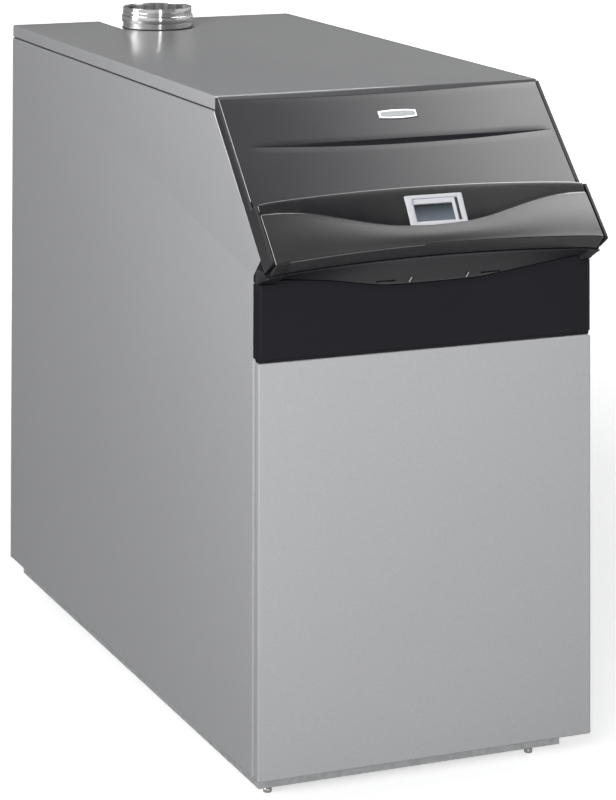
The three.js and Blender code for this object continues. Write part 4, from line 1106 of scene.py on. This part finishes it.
# black rubber strips in the lid gap and behind the front panel's edges, so these gap lines read dark: painted shade
for k in (-1, 1):
    sd = "left" if k < 0 else "right"
    prism("lid_seal_" + sd, [(-342, Zs1 + 0.1), (SY1 - 1, Zs1 + 0.1), (SY1 - 1, lz0 - 0.15), (-342, lz0 - 0.15)], 218.5, 223.2, (lambda a, b, c, k=k: (k * c, a, b)), "rubber_black", "boiler")
    prism("panel_seal_" + sd, [(-478.9, 60), (-477.2, 60), (-477.2, 536), (-478.9, 536)], 213.0, 222.6, (lambda a, b, c, k=k: (k * c, a, b)), "rubber_black", "boiler")

# ------------------------------------------------------------------ flue spigot
fr_ = 51.6
fi_ = 50.3
prof = [(fi_, ftop - 0.5), (fi_, 818), (54.8, 811.2), (54.8, 778), (56.2, 778), (56.2, 811.6), (55.4, 813.5), (52.4, 817.4), (fr_, 819.5),
        (fr_, 844.2), (fr_ + 0.02, 853.9), (fr_ + 1.1, 854.15), (fr_ + 1.8, 854.7), (fr_ + 2.05, 855.6), (fr_ + 2.2, 859.2), (fr_ + 2.05, 862.8),
        (fr_ + 1.8, 863.7), (fr_ + 1.1, 864.25), (fr_ + 0.02, 864.5), (fr_, 867.4), (fr_ + 0.25, 867.8), (fr_ + 0.25, 869.4), (fr_, 869.8),
        (fr_, ftop - 0.6), (fr_ - 0.15, ftop - 0.15), (fr_ - 0.5, ftop), (fi_ + 0.4, ftop)]
lathe("flue_collar_tube", prof, (fcx, fcy, 0), "Z", "stainless", "boiler", "flue_collar", n=160, angle=30)
# black ring at the foot of the tube, painted shade for the dark gap line where it meets the lid
lathe("flue_base_gasket", [(fr_ - 0.2, 844.4), (fr_ + 1.5, 844.4), (fr_ + 1.5, 845.5), (fr_ + 0.9, 846.1), (fr_ - 0.2, 846.1)], (fcx, fcy, 0), "Z", "rubber_black", "boiler", None, n=120, angle=30)
lathe("flue_collar_liner", [(fi_ - 0.02, ftop - 1.2), (fi_ - 0.35, ftop - 1.5), (fi_ - 0.35, 826), (fi_ - 0.02, 825.5)], (fcx, fcy, 0), "Z", "stainless_inner", "boiler", None, n=160, angle=30)

# ------------------------------------------------------------------ the rest of the CAD pieces, edges rounded
DONE = {"left_side_panel", "right_side_panel", "front_panel", "top_panel", "rear_panel", "base_frame", "console_cover", "badge_plate", "console_housing",
        "control_flap", "hinge_pin_left", "hinge_pin_right", "display_bezel", "display_window", "lcd_module", "lower_fascia", "flue_collar"}
EDGE = {"heat_exchanger": 1.0, "burner_plate": 1.4, "fan_housing": 1.6, "fan_motor": 1.2, "mixture_elbow": 1.2, "gas_air_mixer": 1.0, "air_silencer": 2.2, "gas_valve": 1.2,
        "condensate_tray": 1.5, "siphon_trap": 0.8, "burner_insulation": 0.0, "selector_knob": 0.5, "drain_lever": 0.5, "fan_impeller": 0.3, "flame_electrode": 0.25,
        "ignition_electrode": 0.25, "gauge_needle": 0.12, "button_menu": 0.7, "button_down": 0.7, "button_up": 0.7, "button_reset": 0.7, "main_switch": 0.6, "circuit_board": 0.2,
        "flue_seal": 0.2, "sight_glass": 0.3, "control_panel_plate": 0.4}
for node in ("foot_front_left", "foot_front_right", "foot_rear_left", "foot_rear_right"):
    (x0_, y0_, z0_), (x1_, y1_, z1_) = B[node]
    cx_, cy2_ = (x0_ + x1_) / 2, (y0_ + y1_) / 2
    pr = [(0, 0.0), (4.6, 0.0), (5.2, 0.5), (5.4, 1.4), (5.4, 4.4), (5.0, 5.2), (3.5, 5.5)]
    zz = 6.2
    while zz < z1_ - 2.2:
        pr += [(3.4, zz), (4.0, zz + 0.62)]
        zz += 1.25
    pr += [(3.4, z1_ - 1.2), (2.8, z1_ - 0.2), (0, z1_ - 0.2)]
    lathe("levelling_stud_" + node[5:], pr, (cx_, cy2_, 0), "Z", "zinc_plated", node, node, n=28, angle=35, closed=False)
    DONE.add(node)
for node in sorted(B.keys() | set(SLOT)):
    if node in DONE or node not in SLOT:
        continue
    refine(node, EDGE.get(node, 0.4), 2, tri=(node == "heat_exchanger"))

# ------------------------------------------------------------------ fixings, cables and seals of the interior and the rear


def fixings(name, items, mat, r=5.8, h=5.0, washer=6.8, kind="hex", body="boiler"):
    """Bolt or screw heads, each a closed solid with its washer. items: (place, outward direction) in mm."""
    vs, fs = [], []

    def add(rings):
        base = len(vs)
        v_, f_ = loft(rings)
        vs.extend(v_)
        fs.extend(tuple(base + q for q in f) for f in f_)

    for k_, (at, out) in enumerate(items):
        at, out = Vector(at), Vector(out).normalized()
        u = out.orthogonal().normalized()
        w = out.cross(u)

        def ring(rr, t, n, ph=0.0):
            return [(at + out * t + (u * math.cos(ph + 2 * math.pi * i / n) + w * math.sin(ph + 2 * math.pi * i / n)) * rr) * 0.001 for i in range(n)]

        top = -0.3
        if washer:
            add([ring(washer, -0.3, 24), ring(washer, 0.9, 24), ring(washer - 0.3, 1.2, 24)])
            top = 1.15
        ph = 0.37 * k_
        if kind == "hex":
            add([ring(r, top, 6, ph), ring(r, top + h - 0.7, 6, ph), ring(r * 0.88, top + h, 6, ph)])
        else:
            add([ring(r, top, 20), ring(r, top + h * 0.45, 20), ring(r * 0.93, top + h * 0.75, 20), ring(r * 0.74, top + h * 0.96, 20), ring(r * 0.5, top + h, 20),
                 ring(r * 0.46, top + h, 20), ring(r * 0.42, top + h * 0.45, 20)])
    return make(name, vs, fs, mat, body, angle=28)


FXc, FZc = 60.0, 295.0
fixings("burner_door_bolts", [((x, -212, z), (0, -1, 0)) for x, z in ((-84, 366), (84, 366), (-84, 450), (84, 450), (-84, 534), (84, 534), (0, 366), (0, 535))], "zinc_plated")
fixings("exchanger_tie_nuts", [((x, -200, z), (0, -1, 0)) for x, z in ((-128, 238), (128, 280), (-128, 390), (128, 390), (-128, 536), (128, 536), (-40, 238))], "zinc_plated", r=7.5, h=7, washer=9.5)
fixings("fan_cover_screws", [((FXc + 62 * math.cos(rad(a)), -300, FZc + 62 * math.sin(rad(a))), (0, -1, 0)) for a in (205, 250, 295, 340, 30)], "zinc_plated", r=3.6, h=2.6, washer=4.6, kind="pan")
fixings("mixer_flange_bolts", [((FXc + 31.4 * math.cos(rad(a)), -308, FZc + 31.4 * math.sin(rad(a))), (0, -1, 0)) for a in (45, 135, 225, 315)], "zinc_plated", r=3.0, h=2.6, washer=0)
fixings("gas_valve_screws", [((x, -372, z), (0, -1, 0)) for x, z in ((-144, 323), (-92, 323), (-145, 269), (-91, 269))], "zinc_plated", r=3.2, h=2.4, washer=0, kind="pan")
fixings("control_box_screws", [((x, -425, z), (0, -1, 0)) for x, z in ((-172, 625), (172, 625), (-90, 625), (90, 625), (0, 625))], "zinc_plated", r=3.8, h=2.6, washer=5.0, kind="pan")
fixings("cross_member_screws", [((x, -476, z), (0, -1, 0)) for x, z in ((-200, 589), (200, 589), (-150, 589), (150, 589))], "zinc_plated", r=3.0, h=1.6, washer=0, kind="pan")
fixings("rear_panel_screws", [((x, 515, z), (0, 1, 0)) for x in (-216, 216) for z in (62, 250, 440, 630, 808)] + [((x, 515, z), (0, 1, 0)) for x, z in ((-110, 56), (0, 56), (110, 56), (120, 814))],
        "zinc_plated", r=4.0, h=2.4, washer=5.2, kind="pan")
fixings("burner_elbow_bolts", [((x, -258, z), (sx, 0, 0)) for sx in (-1, 1) for x, z in ((36 * sx, 408), (36 * sx, 476))], "zinc_plated", r=3.4, h=2.6, washer=4.6)

# rubber grommets where the pipes leave the rear panel, threads on the two water connections
for nm_, x_, z_, rp, rh in (("flow", 90, 520, 21.05, 25), ("return", 120, 235, 21.05, 25), ("gas", -180, 588, 11.05, 15), ("drain", -172, 84, 10.05, 15)):
    lathe("pipe_grommet_" + nm_, [(rp, 511.6), (rh + 2.6, 511.6), (rh + 3.2, 512.2), (rh + 3.2, 513.6), (rh - 0.1, 513.9), (rh - 0.1, 515.1), (rh + 3.2, 515.3), (rh + 3.2, 517.0),
                                  (rh + 2.4, 517.8), (rp + 1.4, 518.2), (rp, 517.8)], (x_, 0, z_), "Y", "rubber_black", "boiler", n=64)
for nm_, x_, z_ in (("flow", 90, 520), ("return", 120, 235)):
    pr = [(20.6, 521.0)]
    y_ = 521.4
    while y_ < 537.0:
        pr += [(21.1, y_), (22.0, y_ + 1.15)]
        y_ += 2.3
    pr += [(21.1, y_), (20.6, y_ + 0.4)]
    lathe("pipe_thread_" + nm_, pr, (x_, 0, z_), "Y", "zinc_plated", "boiler", n=72, angle=25)
    lathe("exchanger_union_" + nm_, [(21.1, 306.4), (26.5, 306.4), (27.5, 307.4), (27.5, 317.0), (26.5, 318.0), (21.1, 318.0)], (90, 0, z_), "Y", "brass", "boiler", n=6, angle=20)

# electrodes' boots, plugs and the cables that run up to the control box
for nm_, x_, z_ in (("ignition", -45, 495), ("flame", 0, 514)):
    lathe("electrode_boot_" + nm_, [(0, -266), (3.6, -266), (4.4, -265), (5.4, -259), (5.4, -244), (5.0, -238.4), (4.8, -238.2), (0, -238.2)], (x_, 0, z_), "Y", "rubber_black", "boiler", n=28, closed=False)
sweep("cable_ignition", [(-112, -312, 641), (-112, -286, 641), (-104, -276, 590), (-60, -284, 535), (-45, -284, 495), (-45, -264, 495)], 2.6, "rubber_black", "boiler", n=12, rnd=16)
sweep("cable_flame", [(-106, -312, 637), (-106, -290, 637), (-92, -282, 585), (-20, -288, 548), (0, -288, 514), (0, -264, 514)], 2.2, "light_plastic", "boiler", n=12, rnd=16)
for nm_, bx_ in (("gas_valve_plug", (-147, -112, -300.2, -282, 286, 324)), ("fan_motor_plug", (98, 117, -243, -217, 284, 306)), ("flow_sensor_plug", (112, 128, -226, -208, 462, 478))):
    x0_, x1_, y0_, y1_, z0_, z1_ = bx_
    prism(nm_, [(x0_, y0_), (x1_, y0_), (x1_, y1_), (x0_, y1_)], z0_, z1_, lambda a, b, c: (a, b, c), "black_plastic", "boiler", width=1.4, segs=3)
lathe("flow_sensor_body", [(0, -209), (7.6, -209), (8.2, -208.2), (8.2, -201), (7.6, -200.4), (0, -200.4)], (120, 0, 470), "Y", "brass", "boiler", n=6, closed=False, angle=20)
sweep("cable_gas_valve", [(-140, -312, 640), (-140, -280, 640), (-142, -272, 560), (-136, -276, 420), (-130, -291, 370), (-130, -291, 322)], 3.4, "rubber_black", "boiler", n=12, rnd=26)
sweep("cable_fan_motor", [(108, -312, 641), (108, -282, 641), (112, -262, 580), (134, -244, 470), (126, -236, 360), (108, -230, 340), (108, -230, 304)], 3.4, "rubber_black", "boiler", n=12, rnd=26)
sweep("cable_flow_sensor", [(113, -312, 636), (113, -288, 636), (118, -270, 590), (120, -232, 530), (120, -217, 500), (120, -217, 476)], 2.0, "light_plastic", "boiler", n=12, rnd=16)
for nm_, x_ in (("a", -140), ("b", -110), ("c", 110)):
    lathe("cable_entry_" + nm_, [(5.4, -304.6), (11.6, -304.6), (12.2, -304.0), (12.2, -302.6), (9.9, -302.2), (9.9, -299.8), (12.2, -299.4), (12.2, -297.6), (11.4, -296.8), (7.2, -295.0), (5.4, -295.4)],
          (x_, 0, 640), "Y", "rubber_black", "boiler", n=32)

# hose clips, siphon union nut, moulded ribs and joint flange of the air silencer
for nm_, c_, ax_ in (("upper", (-150, -262, 181), "Z"), ("tray", (-100, 0, 134), "Y")):
    h0_ = -186.5 if ax_ == "Y" else 0
    lathe("hose_clip_" + nm_, [(11.4, h0_ - 4.2), (12.3, h0_ - 4.2), (12.5, h0_ - 3.9), (12.5, h0_ + 3.9), (12.3, h0_ + 4.2), (11.4, h0_ + 4.2)], c_, ax_, "stainless", "boiler", n=40)
fixings("hose_clip_screws", [((-150, -274.4, 181), (0, -1, 0)), ((-100, -186.5, 146.4), (0, 0, 1))], "zinc_plated", r=3.6, h=4.6, washer=0)
lathe("siphon_union_nut", [(14.05, 157.2), (19.5, 157.2), (20.4, 158.0), (20.4, 166.6), (19.6, 167.4), (14.05, 167.4)], (-150, -262, 0), "Z", "light_plastic", "boiler", n=12, angle=20)
for i_, z_ in enumerate((146, 172, 198, 224, 250, 276, 302)):
    prism("silencer_rib_%d" % (i_ + 1), [(46, z_ - 2), (174, z_ - 2), (175.5, z_), (174, z_ + 2), (46, z_ + 2), (44.5, z_)], -432.4, -429.6, lambda a, b, c: (a, c, b), "black_plastic", "boiler", width=0.9, segs=2)
prism("silencer_joint_flange", rround(21.6, 198.4, 107.6, 342.4, 15.5, 5), -392.5, -388.0, lambda a, b, c: (a, c, b), "black_plastic", "boiler", width=0.8, segs=2)
fixings("silencer_clips", [((198, -390.2, z), (1, 0, 0)) for z in (150, 225, 300)] + [((22, -390.2, z), (-1, 0, 0)) for z in (150, 225)], "zinc_plated", r=4.2, h=2.2, washer=0)

# ------------------------------------------------------------------ studio
world = bpy.data.worlds.new("studio")
SCENE.world = world
world.use_nodes = True
wt = world.node_tree
wt.nodes.clear()
wo = wt.nodes.new("ShaderNodeOutputWorld")


def wm(op, a, b=None, c=None, clamp=False):
    n = wt.nodes.new("ShaderNodeMath")
    n.operation = op
    n.use_clamp = clamp
    for i, val in enumerate((a, b, c)):
        if val is None:
            continue
        if hasattr(val, "is_output"):
            wt.links.new(val, n.inputs[i])
        else:
            n.inputs[i].default_value = val
    return n.outputs[0]


wc = wt.nodes.new("ShaderNodeTexCoord").outputs["Generated"]
sep = wt.nodes.new("ShaderNodeSeparateXYZ")
wt.links.new(wc, sep.inputs[0])
DX, DY, DZ = sep.outputs


def wdot(d):
    n = wt.nodes.new("ShaderNodeVectorMath")
    n.operation = "DOT_PRODUCT"
    wt.links.new(wc, n.inputs[0])
    n.inputs[1].default_value = Vector(d).normalized()
    return n.outputs["Value"]


def wstep(val, a, b, lo=0.0, hi=1.0):
    n = wt.nodes.new("ShaderNodeMapRange")
    n.interpolation_type = "SMOOTHSTEP"
    n.inputs["From Min"].default_value = a
    n.inputs["From Max"].default_value = b
    n.inputs["To Min"].default_value = lo
    n.inputs["To Max"].default_value = hi
    wt.links.new(val, n.inputs["Value"])
    return n.outputs["Result"]


# diffuse light: soft dome, brighter from the upper front left
dif = wm("ADD", wstep(DZ, 0.0, 0.9, 0.25, 0.08), wstep(wdot((-0.75, -0.55, 0.35)), 0.2, 1.0, 0.0, 0.35))
low = wstep(DZ, 0.50, 0.12, 0.0, 1.0)
dif = wm("ADD", dif, wm("MULTIPLY", wm("MULTIPLY", wstep(DX, 0.35, 0.9, 0.0, 1.9), wstep(DY, -0.40, -0.05, 0.0, 1.0)), low))
dif = wm("ADD", dif, wm("MULTIPLY", wm("MULTIPLY", wstep(DY, 0.35, 0.9, 0.0, 1.7), wstep(DX, -0.5, -0.1, 0.0, 1.0)), low))
# glossy light: low horizon, a darker sky towards the front, one big softbox up on the right, strips for the edges
glo = wm("ADD", wstep(DZ, 0.05, 0.5, 0.30, 0.08), wm("MULTIPLY", wstep(DZ, 0.6, 0.85, 0.0, 0.30), wstep(DY, -0.34, -0.2, 0.0, 1.0)))
DXS = wm("ADD", DX, wm("MULTIPLY", wm("MINIMUM", wm("ADD", DY, 0.15), 0.0), 0.8))
glo = wm("ADD", glo, wm("MULTIPLY", wstep(DXS, 0.381, 0.456, 0.0, 8.1), wm("MULTIPLY", wstep(DY, -0.33, -0.22, 0.0, 1.0), wm("MULTIPLY", wstep(DZ, 0.5, 0.7, 0.0, 1.0), wstep(DX, 0.58, 0.68, 1.0, 0.0)))))
glo = wm("ADD", glo, wstep(wdot((-0.75, -0.5, 0.35)), 0.6, 1.0, 0.0, 0.5))
glo = wm("ADD", glo, wm("MULTIPLY", wstep(DX, 0.39, 0.45, 0.0, 1.2), wm("MULTIPLY", wstep(DY, -0.62, -0.48, 0.0, 1.0), wm("MULTIPLY", wstep(DY, -0.33, -0.22, 1.0, 0.0), wstep(DZ, 0.5, 0.7, 0.0, 1.0)))))
glo = wm("ADD", glo, wm("MULTIPLY", wstep(DZ, 0.45, 0.1, 0.0, 0.45), wstep(DX, 0.6, 0.8, 0.0, 1.0)))
glo = wm("ADD", glo, wstep(wdot((-0.74, 0.12, 0.64)), 0.88, 0.95, 0.0, 13.0))
glo = wm("ADD", glo, wstep(wdot((0.38, 0.40, 0.83)), 0.965, 0.992, 0.0, 4.5))
lp = wt.nodes.new("ShaderNodeLightPath")
bd = wt.nodes.new("ShaderNodeBackground")
bg = wt.nodes.new("ShaderNodeBackground")
bc = wt.nodes.new("ShaderNodeBackground")
wt.links.new(dif, bd.inputs["Strength"])
wt.links.new(glo, bg.inputs["Strength"])
bc.inputs["Strength"].default_value = 1.0
for b_ in (bd, bg, bc):
    b_.inputs["Color"].default_value = (1, 1, 1, 1)
bd.inputs["Color"].default_value = (0.98, 0.99, 1.0, 1)
m1 = wt.nodes.new("ShaderNodeMixShader")
m2 = wt.nodes.new("ShaderNodeMixShader")
wt.links.new(lp.outputs["Is Glossy Ray"], m1.inputs["Fac"])
wt.links.new(bd.outputs[0], m1.inputs[1])
wt.links.new(bg.outputs[0], m1.inputs[2])
wt.links.new(lp.outputs["Is Camera Ray"], m2.inputs["Fac"])
wt.links.new(m1.outputs[0], m2.inputs[1])
wt.links.new(bc.outputs[0], m2.inputs[2])
wt.links.new(m2.outputs[0], wo.inputs["Surface"])


def area(name, loc, target, size, power, spread=None):
    ld = bpy.data.lights.new(name, "AREA")
    ld.shape = "RECTANGLE"
    ld.size, ld.size_y = size
    ld.energy = power
    o = bpy.data.objects.new(name, ld)
    SCENE.collection.objects.link(o)
    o.location = loc
    d = Vector(target) - Vector(loc)
    o.rotation_euler = d.to_track_quat("-Z", "Y").to_euler()
    o.visible_glossy = False
    if spread:
        ld.spread = rad(spread)
    return o


area("key_softbox", (-2.6, -3.65, 1.9), (-0.1, 0.0, 1.15), (3.0, 0.9), 50, 72)


def card(name, corners, strength):
    """White reflector, seen only in glossy reflections."""
    me = bpy.data.meshes.new(name)
    me.from_pydata(corners, [], [(0, 1, 2, 3)])
    o = bpy.data.objects.new(name, me)
    SCENE.collection.objects.link(o)
    m = bpy.data.materials.new(name)
    m.use_nodes = True
    nt = m.node_tree
    nt.nodes.clear()
    out = nt.nodes.new("ShaderNodeOutputMaterial")
    e = nt.nodes.new("ShaderNodeEmission")
    e.inputs["Strength"].default_value = strength
    nt.links.new(e.outputs[0], out.inputs[0])
    me.materials.append(m)
    o.visible_camera = o.visible_diffuse = o.visible_shadow = o.visible_transmission = False
    return o


card("card_left", [(-1.8, 0.30, 0.02), (-1.8, 0.92, 0.02), (-1.8, 0.92, 2.2), (-1.8, 0.30, 2.2)], 3.0)
card("card_front", [(-0.80, -2.9, 0.02), (-0.42, -2.9, 0.02), (-0.42, -2.9, 2.2), (-0.80, -2.9, 2.2)], 6.0)
fl = bpy.data.meshes.new("studio_floor")
fl.from_pydata([(-30, -30, 0), (30, -30, 0), (30, 30, 0), (-30, 30, 0)], [], [(0, 1, 2, 3)])
floor = bpy.data.objects.new("studio_floor", fl)
SCENE.collection.objects.link(floor)
fm = bpy.data.materials.new("studio_floor")
nt, bs = nodes_of(fm)
vv_ = coords(nt)
flp = nt.nodes.new("ShaderNodeLightPath").outputs["Is Camera Ray"]
fsep = nt.nodes.new("ShaderNodeSeparateXYZ")
L(nt, vv_, fsep.inputs[0])
ffront = mapr(nt, fsep.outputs["Y"], -0.35, -0.75, 0.0, 1.0)
L(nt, mixc(nt, flp, ramp(nt, ffront, 0.0, 1.0, (0.22, 0.22, 0.22), (0.32, 0.32, 0.32)), ramp(nt, noise(nt, vv_, 2.0, 3, 0.5), 0.3, 0.7, (0.80, 0.80, 0.80), (0.83, 0.83, 0.83))), bs.inputs["Base Color"])
L(nt, mapr(nt, noise(nt, vv_, 12.0, 3, 0.5), 0.3, 0.7, 0.75, 0.9), bs.inputs["Roughness"])
bs.inputs["Specular IOR Level"].default_value = 0.1
bs.inputs["Emission Color"].default_value = (1, 1, 1, 1)
ln = nt.nodes.new("ShaderNodeVectorMath")
ln.operation = "LENGTH"
L(nt, vv_, ln.inputs[0])
em = nt.nodes.new("ShaderNodeMath")
em.operation = "MULTIPLY"
L(nt, flp, em.inputs[0])
L(nt, mapr(nt, ln.outputs["Value"], 1.2, 3.2, 0.58, 0.95), em.inputs[1])
flg = nt.nodes.new("ShaderNodeLightPath").outputs["Is Glossy Ray"]
fld = nt.nodes.new("ShaderNodeLightPath").outputs["Is Diffuse Ray"]


def fadd(a, b, op="ADD"):
    n = nt.nodes.new("ShaderNodeMath")
    n.operation = op
    for i, val in enumerate((a, b)):
        if hasattr(val, "is_output"):
            L(nt, val, n.inputs[i])
        else:
            n.inputs[i].default_value = val
    return n.outputs[0]


L(nt, fadd(em.outputs[0], fadd(fadd(flg, fadd(fadd(ffront, 0.35, "MULTIPLY"), 0.16), "MULTIPLY"), fadd(fadd(fld, 0.14, "MULTIPLY"), ffront, "MULTIPLY"))), bs.inputs["Emission Strength"])
fl.materials.append(fm)

SCENE.view_settings.view_transform = "Standard"
SCENE.view_settings.look = "None"

# ------------------------------------------------------------------ camera
yaw, pitch, roll = 0.395594302, -0.0251545388, 0.0017443155
cy_, sy_, cp, sp = math.cos(yaw), math.sin(yaw), math.cos(pitch), math.sin(pitch)
fwd = Vector((cp * sy_, cp * cy_, -sp))
rt = Vector((cy_, -sy_, 0))
up = rt.cross(fwd)
rt2 = rt * math.cos(roll) + up * math.sin(roll)
up2 = up * math.cos(roll) - rt * math.sin(roll)
cd = bpy.data.cameras.new("camera")
cam = bpy.data.objects.new("camera", cd)
SCENE.collection.objects.link(cam)
mx = Matrix((rt2, up2, -fwd)).transposed().to_4x4()
mx.translation = Vector((-1.551358, -3.820990, 1.345777))
cam.rotation_mode = "QUATERNION"
cam.matrix_world = mx
cd.sensor_width = 36.0
cd.sensor_fit = "AUTO"
cd.lens = 133.3956
cd.clip_start, cd.clip_end = 0.1, 100
SHIFT = -0.974214
drv = cd.driver_add("shift_y").driver
drv.type = "SCRIPTED"
va = drv.variables.new()
va.name = "x"
va.type = "SINGLE_PROP"
va.targets[0].id_type = "OBJECT"
va.targets[0].id = cam
va.targets[0].data_path = "location[0]"
drv.expression = "%f if abs(x + 1.551358) < 0.001 else 0" % SHIFT
SCENE.camera = cam
